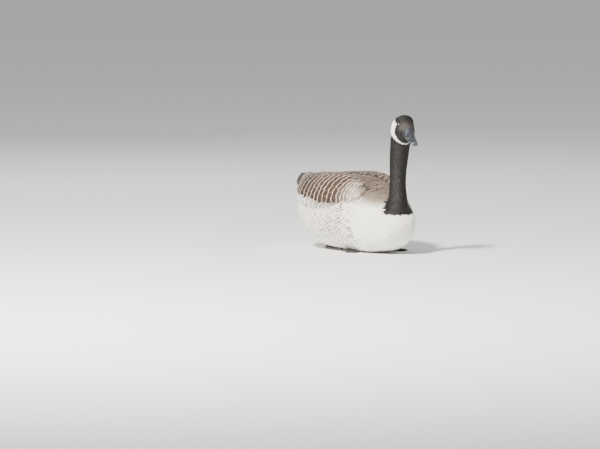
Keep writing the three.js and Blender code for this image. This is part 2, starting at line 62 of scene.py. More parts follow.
def records(keys, **rows):
    """Records of named values, one for each row."""
    return {name: dict(zip(keys.split(), row)) for name, row in rows.items()}


# Sections: half is half the width of a section, and wide the height at which it is widest

TORSO = table("f top bottom half wide", [
    (227, 96, 84, 6, 89),
    (222, 108, 66, 25, 88),
    (208, 125, 44, 43, 88),
    (185, 143, 25, 55, 89),
    (150, 159, 11, 66, 92),
    (100, 175, 3, 85, 97),
    (50, 187, -2, 100, 101),
    (0, 194, -2.5, 110, 104),
    (-50, 196, -2, 117, 106),
    (-100, 195, 1, 120, 108),
    (-150, 192, 12, 117, 110),
    (-200, 186, 34, 104, 113),
    (-250, 176, 70, 74, 122),
    (-285, 165, 106, 45, 136),
    (-306, 154, 134, 17, 145),
])
TORSO_OVER = 2.05
TORSO_UNDER = 2.6

NECK = table("z f deep half", [
    (96, 172, 48, 46),
    (112, 178, 41, 39),
    (126, 185, 33, 31),
    (141, 189.5, 27.5, 25.3),
    (156, 190, 24.5, 22.8),
    (187, 190, 22.3, 20.7),
    (217, 191, 23, 21.4),
    (247, 195, 25, 23.2),
    (276, 200, 27, 24.6),
    (296, 205, 28, 25.5),
    (314, 209, 28, 26.5),
    (330, 209, 23, 23),
])

HEAD_AT = (3.8, 228.4, 342.5)
HEAD_PITCH = 19.5
HEAD_ROLL = 5.5
HEAD_YAW = -3.3
HEAD = table("a top bottom half wide round", [
    (-39.5, -2, -18, 8, -9, 2),
    (-35.5, 9, -32, 19, -12, 2.1),
    (-26, 19, -44, 27.5, -15, 2.3),
    (-14, 25, -50, 31, -18, 2.4),
    (-2, 24.5, -51, 31, -20, 2.4),
    (10, 19, -47, 27, -19, 2.2),
    (20, 10.5, -37, 20, -16, 2),
    (28, 1, -27, 14, -13.5, 2),
])
HEAD_UNDER = 2.35
EYE = {"radius": 6.7, "out": 18.0, "a": -3.4, "c": 0}
ORBIT = {"deep": 10.5, "wide": 7.5}

BILL_UPPER = table("a top half", [
    (14, 5, 15),
    (26, 2.2, 15.4),
    (37, -4, 14.2),
    (50, -10, 12.8),
    (62, -14, 12.0),
    (71, -16.8, 10.8),
    (77.5, -19.6, 8.4),
    (80.5, -22.6, 4.6),
])
BILL_LOWER = table("a bottom half", [
    (14, -26.5, 12.4),
    (26, -27, 12.4),
    (40, -27, 11),
    (56, -26.6, 9.4),
    (68, -26, 8),
    (75, -25.2, 5.6),
])
MOUTH = {"a0": 14, "c0": -15.4, "a1": 80, "c1": -22.4}
NOSTRIL = {"a": 46, "c": -12, "long": 5.2, "high": 2.0, "deep": 3.2}
NAIL = {"start": 67, "half": 6, "rise": 0.9}
HOOK = 2.2  # how far the tip of the upper mandible hangs over the lower one

WING = table("f ux uz lx lz swell", [
    (108, 48, 164, 62, 154, 3),
    (97, 43, 172, 72, 148, 8),
    (60, 39, 185, 90, 137, 14),
    (0, 37, 198, 113, 129, 23),
    (-60, 34, 201, 124, 126, 27),
    (-120, 29, 198, 124, 126, 27),
    (-180, 24, 194, 112, 130, 24),
    (-240, 20, 190, 88, 142, 18),
    (-290, 18, 188, 66, 156, 11),
    (-325, 19, 188, 54, 165, 6),
    (-342, 26, 186, 46, 173, 3),
])
WING_SINK = 0.2
WING_LONG = 1.03
WING_CORE_END = -236

LEG = {"x": 69, "heel_f": -92, "ankle_f": -4}
TOES = [(57, 62), (70, 78), (85, 64)]

# How far the skin under the coat lies inside the frame's surface
DEPTH_TORSO = 3.4
DEPTH_NECK = 0.6
DEPTH_HEAD = 1.2
DEPTH_WING = 2.2
SKIN_VOXEL = 0.0026
SKIN_PASSES = 6


# Numbers
def signed_power(value, power):
    return np.sign(value) * np.abs(value) ** power


def smoothstep(value, low, high):
    s = np.clip((value - low) / (high - low), 0, 1)
    return s * s * (3 - 2 * s)


def lerp(a, b, s):
    return a + (b - a) * s


def between(rows, key, t):
    """A smooth value between the rows of a table, t counted in rows."""
    column = rows[key]
    last = len(column) - 1
    i = np.clip(np.floor(t).astype(int), 0, last - 1)
    s = t - i
    p0 = column[np.maximum(i - 1, 0)]
    p1 = column[i]
    p2 = column[i + 1]
    p3 = column[np.minimum(i + 2, last)]
    bend = 2 * p0 - 5 * p1 + 4 * p2 - p3
    twist = 3 * (p1 - p2) + p3 - p0
    return p1 + 0.5 * s * (p2 - p0 + s * (bend + s * twist))


def row_of(rows, f):
    """The place of f in a table whose f falls, counted in rows."""
    return np.interp(-np.asarray(f, float), -rows["f"], np.arange(len(rows["f"])))


def unit(v):
    return v / np.maximum(np.linalg.norm(v, axis=-1, keepdims=True), 1e-12)


def circle(sides):
    """Angles at even steps once round."""
    return np.arange(sides) / sides * 2 * math.pi


def linear(code):
    """A named sRGB colour as linear red, green and blue."""
    c = np.array([(code >> 16) & 255, (code >> 8) & 255, code & 255]) / 255
    return np.where(c <= 0.04045, c / 12.92, ((c + 0.055) / 1.055) ** 2.4)


def at(x, f, z):
    """A point in metres in the frame, from millimetres."""
    x, f, z = np.broadcast_arrays(x, f, z)
    return np.stack([x, -f, z], axis=-1) * MM


def measures(points):
    """The x, f and z of points in millimetres."""
    return points[..., 0] / MM, -points[..., 1] / MM, points[..., 2] / MM


# Surfaces, each as a function of its own two places and the distance out from it
def section(rows, t, angle, out, over, under):
    """Sideways and upward places on a rounded section, over and under being its powers above and below."""
    above = np.cos(angle) > 0
    wide = between(rows, "wide", t)
    rise = np.where(above, between(rows, "top", t) - wide, wide - between(rows, "bottom", t))
    power = 2 / np.where(above, over, under)
    aside = (between(rows, "half", t) + out) * signed_power(np.sin(angle), power)
    return aside, wide + (rise + out) * signed_power(np.cos(angle), power)


def torso_point(f, angle, out=0.0):
    x, z = section(TORSO, row_of(TORSO, f), angle, out, TORSO_OVER, TORSO_UNDER)
    return at(x, f, z)


def neck_row(z):
    return np.interp(z, NECK["z"], np.arange(len(NECK["z"])))


def neck_point(z, angle, out=0.0):
    t = neck_row(z)
    x = (between(NECK, "half", t) + out) * np.sin(angle)
    f = between(NECK, "f", t) + (between(NECK, "deep", t) + out) * np.cos(angle)
    return at(x, f, z)


def turn_about(axis, degrees):
    """A rotation matrix about one axis, 0 for x, 1 for y and 2 for z."""
    turn = math.radians(degrees)
    i, j = (axis + 1) % 3, (axis + 2) % 3
    matrix = np.eye(3)
    matrix[[i, j], [i, j]] = math.cos(turn)
    matrix[i, j] = -math.sin(turn)
    matrix[j, i] = math.sin(turn)
    return matrix


HEAD_TURN = turn_about(2, HEAD_YAW) @ turn_about(0, HEAD_PITCH) @ turn_about(1, HEAD_ROLL)


def on_head(a, b, c):
    """A point of the head, a forward of the eyes, b to the left and c up, in metres in the frame."""
    return at(b, a, c) @ HEAD_TURN.T + at(*HEAD_AT)


def in_head(points):
    """The head's own a, b and c of points in the frame, in millimetres."""
    local = (points - at(*HEAD_AT)) @ HEAD_TURN / MM
    return -local[..., 1], local[..., 0], local[..., 2]


def head_point(t, angle, out=0.0):
    a = between(HEAD, "a", t)
    full, c = section(HEAD, t, angle, out, between(HEAD, "round", t), HEAD_UNDER)
    near = np.exp(-((a - EYE["a"]) ** 2 + (c - EYE["c"]) ** 2) / (2 * ORBIT["wide"] ** 2))
    b = full - np.sign(full) * np.minimum(ORBIT["deep"] * near, np.abs(full) / 2)
    return on_head(a, b, c)


def wing_point(side, f, angle, out=0.0):
    t = row_of(WING, f)
    upper, lower = (np.stack([between(WING, k + axis, t) for axis in "xz"], axis=-1) for k in "ul")
    span = lower - upper
    half = np.linalg.norm(span, axis=-1) / 2
    along = unit(span)
    outward = np.stack([-along[..., 1], along[..., 0]], axis=-1)
    sink = half * WING_SINK
    middle = (upper + lower) / 2 - outward * sink[..., None]
    reach = (half * WING_LONG + out) * np.cos(angle)
    bulge = (between(WING, "swell", t) + sink + out) * np.sin(angle)
    p = middle + along * reach[..., None] + outward * bulge[..., None]
    return at(side * p[..., 0], f, p[..., 1])


# Plumage colours
BLACK = linear(0x110F0E)
BLACK_EDGE = linear(0x262220)
# Painted glare: a grey-brown that lightens the black feathers between and around the eyes
FACE_GLARE = linear(0x3D3834)
WHITE = linear(0xF6F3EE)
MANTLE = linear(0x382E27)
MANTLE_EDGE = linear(0x807061)
SHOULDER = linear(0x6E5F53)
SHOULDER_EDGE = linear(0xAD9D8E)
WING_FRONT = linear(0xB8A697)
WING_BROWN = linear(0x3B2F27)
WING_EDGE = linear(0xC0A894)
TERTIAL = linear(0x221B17)
TERTIAL_EDGE = linear(0xA39384)
PRIMARY = linear(0x1A1613)
PRIMARY_EDGE = linear(0x3C332B)
FLANK = linear(0x7A6957)
FLANK_EDGE = linear(0xEEE6DA)
BREAST = linear(0xE4DACC)
BREAST_EDGE = linear(0xF5F0E8)
BELLY = linear(0xEFEAE0)
VENT = linear(0xF8F6F2)


def blended(a, b, share):
    return a + (b - a) * np.asarray(share)[..., None]


def pair(base, edge):
    """Base and edge colours as one array, to be blended together."""
    return np.stack([base, edge])[:, None]


# The black collar: its lower edge in front, its rise behind f, and its reach at each height
COLLAR = {"front": 106, "rise": 9, "f": 205, "step": 20}
COLLAR_REACH = table(
    "z reach",
    [(108, 1.46), (114, 1.33), (120, 1.18), (127, 1.09), (141, 1.12), (170, 1.6), (210, 6)],
)
BLACK_END_F = 140


def black_depth(points):
    """How far inside the black of the neck points lie, roughly in millimetres, negative outside it."""
    x, f, z = measures(points)
    t = neck_row(z)
    half = between(NECK, "half", t)
    away = np.hypot(x / half, (f - between(NECK, "f", t)) / between(NECK, "deep", t))
    reach = np.interp(z, COLLAR_REACH["z"], COLLAR_REACH["reach"])
    steps = np.maximum(COLLAR["f"] - f, 0) / COLLAR["step"]
    over = z - COLLAR["front"] - COLLAR["rise"] * steps**2
    return np.minimum(over, (reach - away) * half)


# Zones of the plumage: each border fades in from the first measure to the second, in millimetres
ZONES = {
    "breast": [("z", 20, 80), ("f", -60, 80)],
    "side": [("z", 34, 70), ("f", 150, 70)],
    "pale": [("f", 30, 125)],
    "rear": [("f", -40, -160)],
    "vent": [("f", -170, -215), ("z", 150, 126)],
    "back": [("ragged", 112, 142), ("f", 200, 168)],
    "shoulder": [("f", 10, 90), ("z", 166, 138)],
    "bend": [("out", 45, 70), ("f", 55, 85), ("f", 140, 118)],
    "rump": [("f", -205, -225), ("f", -280, -272), ("z", 140, 152)],
    "coverts": [("f", -266, -274)],
    # face: where a painted glare lightens the black of the face, between and around the eyes
    "face": [("a", 0, 16), ("c", -13, -2), ("c", 18, 6)],
}
REAR_PALE = 0.45
SHOULDER_PALE = 0.8
BEND_PALE = {"base": 0.85, "edge": 0.8}

# The white cheek, between two edges given at each height of the head
CHEEK_FRONT = table(
    "c a",
    [(-46, 24), (-39, 17), (-34, 14), (-24, 7.5), (-13.6, 0), (-5, -8), (4, -13), (10, -19)],
)
CHEEK_REAR = table("c a", [(-50, -16), (-35, -25), (-20, -29), (-5, -27), (6, -21), (12, -14)])
CHEEK = {"top": 10, "low": 296, "low_f": 232, "slope": 0.95}
SKULL = {"z": 292, "f": 150, "face": -4}
RAGGED = 0.25


def plumage(points, jitter):
    """The base and edge colours of small feathers at points, with a jitter in mm for ragged borders."""
    x, f, z = measures(points)
    a, _, c = in_head(points)
    ragged = RAGGED * jitter
    place = {"out": np.abs(x), "f": f, "z": z, "ragged": z + ragged, "a": a, "c": c}

    def zone(name):
        share = 1.0
        for measure, start, end in ZONES[name]:
            share = share * smoothstep(place[measure], start, end)
        return share

    rear = REAR_PALE * zone("rear")
    flank = blended(pair(FLANK, FLANK_EDGE), VENT, np.stack([rear, 2 * rear]))
    flank = blended(flank, pair(BREAST, BREAST_EDGE), zone("pale"))
    shoulder = pair(SHOULDER, SHOULDER_EDGE)
    back = zone("back")
    bend = back * zone("bend")
    coat = blended(pair(BELLY, VENT), pair(BREAST, BREAST_EDGE), zone("breast"))
    coat = blended(coat, flank, zone("side"))
    coat = blended(coat, VENT, zone("vent"))
    coat = blended(coat, blended(pair(MANTLE, MANTLE_EDGE), shoulder, SHOULDER_PALE * zone("shoulder")), back)
    coat[0] = blended(coat[0], WING_FRONT, BEND_PALE["base"] * bend)
    coat[1] = blended(coat[1], BREAST_EDGE, BEND_PALE["edge"] * bend)
    coat = blended(coat, pair(BLACK, BLACK_EDGE), zone("rump"))
    coat = blended(coat, VENT, zone("coverts"))
    coat[:, (black_depth(points) + jitter > 0) & (f > BLACK_END_F)] = pair(BLACK, BLACK_EDGE)
    skull = (z > SKULL["z"]) & (f > SKULL["f"])
    front = np.interp(c, CHEEK_FRONT["c"], CHEEK_FRONT["a"])
    behind = np.interp(c, CHEEK_REAR["c"], CHEEK_REAR["a"])
    low = CHEEK["low"] + CHEEK["slope"] * np.maximum(CHEEK["low_f"] - f, 0)
    cheek = skull & (a < front + ragged) & (a > behind + ragged) & (c < CHEEK["top"]) & (z > low + ragged)
    coat[:, cheek] = WHITE
    # The black face, lightened by a painted glare between and around the eyes
    face = skull & ~cheek & (a > SKULL["face"])
    coat[0] = np.where(face[:, None], blended(BLACK, FACE_GLARE, zone("face")), coat[0])
    return coat


# Meshes
def new_object(name, data):
    made = bpy.data.objects.new(name, data)
    bpy.context.scene.collection.objects.link(made)
    return made


def grid_faces(rows, columns, closed):
    """Quads of a grid, whose columns may close into a ring."""
    r = np.arange(rows - 1)[:, None]
    c = np.arange(columns if closed else columns - 1)[None, :]
    n = (c + 1) % columns
    here, above = r * columns, (r + 1) * columns
    return np.stack([here + c, here + n, above + n, above + c], axis=-1).reshape(-1, 4)


def loft(rings):
    """Vertices and faces of a closed loft through rings of points."""
    rows, columns = rings.shape[:2]
    vertices = rings.reshape(-1, 3)
    faces = [list(q) for q in grid_faces(rows, columns, True)]
    faces.append(list(range(columns))[::-1])
    faces.append([(rows - 1) * columns + i for i in range(columns)])
    return vertices, faces


def joined_mesh(name, parts):
    vertices = []
    faces = []
    for points, polygons in parts:
        base = sum(len(v) for v in vertices)
        vertices.append(points)
        faces += [[base + i for i in face] for face in polygons]
    mesh = bpy.data.meshes.new(name)
    mesh.from_pydata(np.concatenate(vertices).tolist(), [], faces)
    mesh.update()
    return mesh


def smooth_shaded(mesh):
    mesh.polygons.foreach_set("use_smooth", np.ones(len(mesh.polygons), bool))
    return mesh


def per_vertex(mesh, key):
    """The places ("co") or the normals of a mesh's vertices."""
    values = np.empty(len(mesh.vertices) * 3)
    mesh.vertices.foreach_get(key, values)
    return values.reshape(-1, 3)


def solid_object(name, parts):
    """A smooth object of closed parts, with all faces turned out."""
    mesh = joined_mesh(name, parts)
    work = bmesh.new()
    work.from_mesh(mesh)
    bmesh.ops.recalc_face_normals(work, faces=work.faces)
    work.to_mesh(mesh)
    work.free()
    return new_object(name, smooth_shaded(mesh))


def rounded_object(name, parts, voxel, passes):
    """One smoothed surface over parts that overlap."""
    made = solid_object(name, parts)
    remesh = made.modifiers.new("remesh", "REMESH")
    remesh.mode = "VOXEL"
    remesh.voxel_size = voxel
    remesh.adaptivity = 0.0
    smooth = made.modifiers.new("smooth", "SMOOTH")
    smooth.factor = 0.5
    smooth.iterations = passes
    graph = bpy.context.evaluated_depsgraph_get()
    mesh = bpy.data.meshes.new_from_object(made.evaluated_get(graph))
    made.modifiers.clear()
    old = made.data
    made.data = smooth_shaded(mesh)
    bpy.data.meshes.remove(old)
    return made


def paint(mesh, base, edge, fringe):
    """Stores the colours of each vertex, with the fringe's share of the length as the edge's alpha."""
    for name, colour, alpha in (("Base", base, 1.0), ("Edge", edge, fringe)):
        layer = mesh.color_attributes.new(name, "FLOAT_COLOR", "POINT")
        rgba = np.ones((len(colour), 4))
        rgba[:, :3] = colour
        rgba[:, 3] = alpha
        layer.data.foreach_set("color", rgba.ravel())


# Skin
SKIN_TONE = 0.8


def torso_at(t, angle, out):
    """A point of the torso at t rows of its table."""
    return torso_point(np.interp(t, np.arange(len(TORSO["f"])), TORSO["f"]), angle, out)


def build_skin():
    """The closed surface that the small feathers grow from."""
    wing = ((WING["f"][0] - 2, WING_CORE_END), 60, 40, DEPTH_WING)
    surfaces = [
        (torso_at, (0, len(TORSO["f"]) - 1), 90, 72, DEPTH_TORSO),
        (neck_point, (NECK["z"][0], NECK["z"][-1]), 60, 48, DEPTH_NECK),
        (head_point, (0, len(HEAD["a"]) - 1), 64, 64, DEPTH_HEAD),
        (partial(wing_point, LEFT), *wing),
        (partial(wing_point, RIGHT), *wing),
    ]
    parts = [
        loft(surface(np.linspace(*ends, rings)[:, None], circle(sides), -depth))
        for surface, ends, rings, sides, depth in surfaces
    ]
    skin = rounded_object("skin", parts, SKIN_VOXEL, SKIN_PASSES)
    points = per_vertex(skin.data, "co")
    base, edge = plumage(points, np.zeros(len(points)))
    paint(skin.data, base * SKIN_TONE, edge, 0.0)
    return skin


# Vanes: a thin closed plate for each feather, all joined in one mesh
def vane_shape(columns, stations, widths):
    return {
        "stations": np.array(stations),
        "widths": np.array(widths),
        "across": np.linspace(-1, 1, columns),
    }


TINY = vane_shape(3, [0, 0.6, 1], [0.55, 1, 0.25])
SOFT = vane_shape(3, [0, 0.4, 0.75, 0.93, 1], [0.55, 0.95, 0.95, 0.7, 0.3])
BROAD = vane_shape(5, [0, 0.35, 0.65, 0.88, 0.97, 1], [0.6, 0.9, 1, 0.97, 0.82, 0.6])
LONG_STATIONS = [0, 0.2, 0.4, 0.6, 0.78, 0.9, 0.97, 1]
LONG = vane_shape(5, LONG_STATIONS, [0.55, 0.85, 1, 1, 0.93, 0.72, 0.42, 0.1])
ROUND = vane_shape(5, LONG_STATIONS, [0.55, 0.85, 1, 1, 0.98, 0.92, 0.78, 0.5])

# Thickness of a vane at its root and at its tip
THICK_ROWED = (0.45, 0.22)
THICK_SMALL = (0.3, 0.16)
THICK_TAIL = (0.6, 0.3)
FLOOR_SOFT = 1.5 * MM
PATCH = 0.003  # the side of one feather's square in the OFBake map


def above_floor(z):
    """Keeps the lowest feathers pressed just over the floor."""
    return np.where(z < FLOOR_SOFT, FLOOR_SOFT * np.exp(np.minimum(z / FLOOR_SOFT - 1, 0)), z)


def vane_faces(rows, columns):
    """Quads of one plate: its upper grid, its lower grid and the walls between them."""
    upper = grid_faces(rows, columns, False)
    size = rows * columns
    lower = upper[:, ::-1] + size
    place = np.arange(size).reshape(rows, columns)
    rim = np.concatenate([place[:-1, 0], place[-1, :-1], place[:0:-1, -1], place[0, :0:-1]])
    following = np.roll(rim, -1)
    walls = np.stack([rim, following, following + size, rim + size], axis=-1)
    return np.concatenate([upper, lower, walls[:, ::-1]])


def vane_object(name, shape, top, thick, colours, bake):
    """Joins plates: top is (feather, station, column, 3), and thick the thickness at root and tip."""
    stations = shape["stations"]
    count, rows, columns = top.shape[:3]
    normal = unit(np.cross(np.gradient(top, axis=2), np.gradient(top, axis=1)))
    bottom = top - normal * (lerp(*thick, stations) * MM)[None, :, None, None]
    vertices = np.concatenate([top.reshape(count, -1, 3), bottom.reshape(count, -1, 3)], axis=1)
    vertices = vertices.reshape(-1, 3)
    vertices[:, 2] = above_floor(vertices[:, 2])
    face = vane_faces(rows, columns)
    each = 2 * rows * columns
    faces = (face[None] + (np.arange(count) * each)[:, None, None]).reshape(-1, 4)
    mesh = bpy.data.meshes.new(name)
    mesh.from_pydata(vertices, [], faces)
    place = np.stack(np.meshgrid((shape["across"] + 1) / 2, stations), axis=-1).reshape(-1, 2)
    corners = np.tile(np.concatenate([place, place])[face.ravel()], (count, 1))
    mesh.uv_layers.new(name="Vane").data.foreach_set("uv", corners.ravel())
    roots = np.repeat(bake, face.size, axis=0)
    mesh.uv_layers.new(name="OFBake").data.foreach_set("uv", (roots + PATCH * (corners - 0.5)).ravel())
    paint(mesh, *(np.repeat(part, each, axis=0) for part in colours))
    return new_object(name, smooth_shaded(mesh))


# Vanes on a surface. An edge is tilted over its neighbour, and the vane is cambered and bends up to its tip
VANE = {"tilt": 0.5, "camber": 0.035, "bend": 1.5, "least_step": 4, "nudge": 0.05}
BAKE_F = (-350, 240)
BAKE_EDGE = 0.02


def surface_vanes(name, shape, surface, f, angle, sizes, colours, row=None, sweep=0.0, bow=0.06, end=-400):
    """Vanes that hug a surface. surface(f, angle, out) gives points, and the feathers point backwards.

    sizes are the lengths, widths, lifts and rises. row(f, angle) is the shift of a row's line round the
    surface, which the ends of its vanes follow. sweep turns a vane round the surface towards its tip, and
    no vane runs back past end.
    """
    length, width, lift, rise = (size[:, None, None] for size in sizes)
    s = shape["stations"][None, :, None]
    v = shape["across"][None, None, :]
    along = s * (1 - bow * v**2)
    root = f[:, None, None]
    here = root - length * along
    turn = angle[:, None, None] + np.broadcast_to(sweep, f.shape)[:, None, None] * s**2
    nudge = VANE["nudge"]
    chord = surface(here, turn + nudge, 0.0) - surface(here, turn - nudge, 0.0)
    step = np.linalg.norm(chord, axis=-1) / (2 * nudge) / MM
    turned = turn + v * shape["widths"][None, :, None] * width / 2 / np.maximum(step, VANE["least_step"])
    if row is not None:
        here = here + row(root, turned) - row(root, turn)
    here = np.maximum(here, end)
    out = lift + rise * along ** VANE["bend"] + VANE["tilt"] * v + VANE["camber"] * width * (1 - v**2)
    bake = bake_square(f, BAKE_F, angle)
    return vane_object(name, shape, surface(here, turned, out), THICK_ROWED, colours, bake)


def bake_square(along, ends, angle):
    """Each root's place on the unwrap of its surface, a little inside the unit square."""
    share = np.clip((along - ends[0]) / (ends[1] - ends[0]), 0, 1)
    turned = angle / (2 * math.pi) % 1
    return BAKE_EDGE + (1 - 2 * BAKE_EDGE) * np.stack([share, turned], axis=-1)


def rows_on(surface, fs, spacing, low, high, row=None):
    """Roots in staggered rows, at even spacing measured across the body: f and angle of each."""
    roots = []
    for number, f in enumerate(fs):
        fine = np.linspace(low, high(f) if callable(high) else high, 400)
        line = np.full(len(fine), float(f))
        if row is not None:
            line = line + row(line, fine)
        ring = surface(line, fine, 0.0)[:, [0, 2]]
        run = np.concatenate([[0], np.cumsum(np.linalg.norm(np.diff(ring, axis=0), axis=1))]) / MM
        count = max(int(round(run[-1] / spacing)), 2)
        offset = 0.5 * (number % 2) + 0.25
        angles = np.interp((np.arange(count) + offset) / count * run[-1], run, fine)
        roots += [(f, angle) for angle in angles]
    return np.array(roots).T


# Scattered feathers, for the parts whose feathers lie in no clear rows
def skin_samples(skin, keep, radius, rng, crowd=9):
    """Points on the skin, no two nearer than radius, with their normals."""
    mesh = skin.data
    mesh.calc_loop_triangles()
    corner = np.empty(len(mesh.loop_triangles) * 3, int)
    mesh.loop_triangles.foreach_get("vertices", corner)
    tri = per_vertex(mesh, "co")[corner.reshape(-1, 3)]
    tri = tri[keep(tri.mean(axis=1))]
    cross = np.cross(tri[:, 1] - tri[:, 0], tri[:, 2] - tri[:, 0])
    area = np.linalg.norm(cross, axis=1) / 2
    total = int(area.sum() / (radius * MM) ** 2 * crowd)
    pick = rng.choice(len(tri), total, p=area / area.sum())
    u = rng.random((total, 2))
    fold = u.sum(axis=1) > 1
    u[fold] = 1 - u[fold]
    spots = tri[pick, 0] + u[:, :1] * (tri[pick, 1] - tri[pick, 0]) + u[:, 1:] * (tri[pick, 2] - tri[pick, 0])
    kept = thinned(spots, radius * MM)
    return spots[kept], unit(cross[pick[kept]])


def thinned(spots, radius):
    """Indices of spots kept so that none is nearer than radius to one kept before it."""
    cells = {}
    kept = []
    around = [(i, j, k) for i in (-1, 0, 1) for j in (-1, 0, 1) for k in (-1, 0, 1)]
    places = zip(spots.tolist(), np.floor(spots / radius).astype(int).tolist())
    for index, (spot, (i, j, k)) in enumerate(places):
        x, y, z = spot
        near = (other for di, dj, dk in around for other in cells.get((i + di, j + dj, k + dk), ()))
        if all((x - ox) ** 2 + (y - oy) ** 2 + (z - oz) ** 2 >= radius * radius for ox, oy, oz in near):
            cells.setdefault((i, j, k), []).append(spot)
            kept.append(index)
    return np.array(kept)


SMALL_BOW = 0.08
SMALL_CAMBER = 0.05


def scattered_vanes(name, shape, tree, roots, normals, flow, sizes, curve, colours, bake):
    """Vanes from roots along flow, each brought down to the skin at its tip, with sizes as above."""
    direction = unit(flow - normals * (flow * normals).sum(axis=1, keepdims=True))
    tips = roots + direction * sizes[0][:, None] * MM
    tips = np.array([tree.find_nearest(Vector(tip))[0] for tip in tips])
    middles = roots + direction * np.linalg.norm(tips - roots, axis=1)[:, None] * 0.5
    sideways = unit(np.cross(normals, direction))
    width, lift, rise = (size[:, None, None, None] for size in sizes[1:])
    root, middle, tip, normal, sideways = (
        vector[:, None, None, :] for vector in (roots, middles, tips, normals, sideways)
    )
    v = shape["across"][None, None, :, None]
    half = v * shape["widths"][None, :, None, None] * width
    along = shape["stations"][None, :, None, None] * (1 - SMALL_BOW * v**2)
    line = (1 - along) ** 2 * root + 2 * along * (1 - along) * middle + along**2 * tip
    up = lift + rise * along - half**2 / (8 * curve) + SMALL_CAMBER * width * (1 - v**2)
    top = line + sideways * half / 2 * MM + normal * up * MM
    return vane_object(name, shape, top, THICK_SMALL, colours, bake)


def varied(rng, count, low, high):
    return low + (high - low) * rng.random(count)


WARMTH = np.array([1, 0.2, -1])
PLAIN_FRINGE = 0.12


def tinted(rng, count, base, edge, spread, fringe=PLAIN_FRINGE):
    """Small differences from feather to feather, with the fringe's share of the length."""
    gain = 1 + spread * (rng.random((count, 1)) - 0.5)
    warm = 1 + 0.3 * spread * (rng.random((count, 1)) - 0.5) * WARMTH
    share = fringe * varied(rng, count, 0.85, 1.15)
    return np.clip(base * gain * warm, 0, 1), np.clip(edge * (1 + 0.4 * (gain - 1)), 0, 1), share


FRINGE = {"back": 0.08, "flank_front": 0.1, "flank_rear": 0.2, "breast": 0.8, "front": 0.05}
FRINGE_BORDER = {"back": (106, 138), "breast": (45, 135), "rear": (-20, 90)}


def fringe_of(points):
    """Share of a body feather that is pale at its end: narrow on the back, wide on the flanks and breast."""
    _, f, z = measures(points)
    low = 1 - smoothstep(z, *FRINGE_BORDER["back"])
    front = smoothstep(f, *FRINGE_BORDER["breast"])
    flank = lerp(FRINGE["flank_front"], FRINGE["flank_rear"], smoothstep(-f, *FRINGE_BORDER["rear"]))
    return FRINGE["back"] + low * lerp(flank, FRINGE["breast"], front) + FRINGE["front"] * front


# Coats in rows. length is counted in the pitch of the rows and width in the spacing along them
ROWED = records(
    "length width lift rise",
    torso=((2.1, 2.35), (1.5, 1.75), (-3.6, -3.0), (3.6, 4.8)),
    coverts=((2.3, 2.5), (1.55, 1.7), (-2.6, -2.2), (4.2, 4.8)),
    flank_cover=((32, 36), (1.5, 1.75), (-0.4, 0.2), (4.4, 5.2)),
)


def rowed_coat(rng, name, kind, surface, f, angle, pitch, spacing, colour, **lines):
    """A coat of broad vanes in rows. colour(length) gives the colours and what tinted takes after them."""
    draw = partial(varied, rng, len(f))
    size = ROWED[kind]
    length = pitch * draw(*size["length"])
    width = spacing * draw(*size["width"])
    colours = tinted(rng, len(f), *colour(length))
    sizes = (length, width, draw(*size["lift"]), draw(*size["rise"]))
    return surface_vanes(name, BROAD, surface, f, angle, sizes, colours, **lines)


# Coat of the torso: where each band starts, its pitch and spacing, and its angles round the body
BANDS = {
    "mantle_feathers": (140, 12, 10, -1.0, 1.0),
    "flank_feathers_left": (112, 17, 10, 0.9, 2.3),
    "flank_feathers_right": (112, 17, 10, -2.3, -0.9),
    "belly_feathers": (140, 14, 11, 2.2, 4.08),
}
FLANK_SLANT = 230  # how far a row runs back from the top of the flank to the belly
FLANK_SWEEP = 0.09  # how far a flank feather turns up towards its tip, in radians round the body
TORSO_END = -288
TORSO_TIP = -307


def from_top(angle):
    """An angle round the body as it lies between -pi and pi from the back's middle."""
    return (angle + math.pi) % (2 * math.pi) - math.pi


def torso_row(f, angle):
    return -FLANK_SLANT * smoothstep(np.abs(from_top(angle)), 0.9, 2.3)


def torso_sweep(angle):
    turned = from_top(angle)
    side = smoothstep(np.abs(turned), 1.0, 1.4) * (1 - smoothstep(np.abs(turned), 1.9, 2.4))
    return -FLANK_SWEEP * np.sign(turned) * side


def build_torso_feathers(rng):
    pieces = []
    for name, (start, pitch, spacing, low, high) in BANDS.items():
        fs = np.arange(start + FLANK_SLANT, TORSO_END, -pitch)
        f, angle = rows_on(torso_point, fs, spacing, low, high, torso_row)
        f = f + torso_row(f, angle)
        inside = (f < start) & (f > TORSO_END)
        f, angle = f[inside], angle[inside]
        f = f + varied(rng, len(f), -0.9, 0.9)
        angle = angle + varied(rng, len(f), -0.008, 0.008)

        def colour(length):
            ends = torso_point(f - 0.7 * length, angle)
            return *plumage(ends, varied(rng, len(f), -5, 5)), 0.22, fringe_of(ends)

        lines = {"row": torso_row, "sweep": torso_sweep(angle), "bow": 0.04, "end": TORSO_TIP}
        pieces.append(rowed_coat(rng, name, "torso", torso_point, f, angle, pitch, spacing, colour, **lines))
    return pieces


# Coat of the wings
ROW_SLANT = 85  # how far a rear row runs back from the wing's lower edge to its upper one
COVERT_START = 94
COVERT_END = -150
COVERT_SPACING = 15.0
COVER_SLANT = 50
COVER_PITCH = 15
COVER_SPACING = 13.0


def covert_pitch(f):
    return lerp(9, 17, smoothstep(-f, -90, 0)) + 6 * smoothstep(-f, 40, 90)


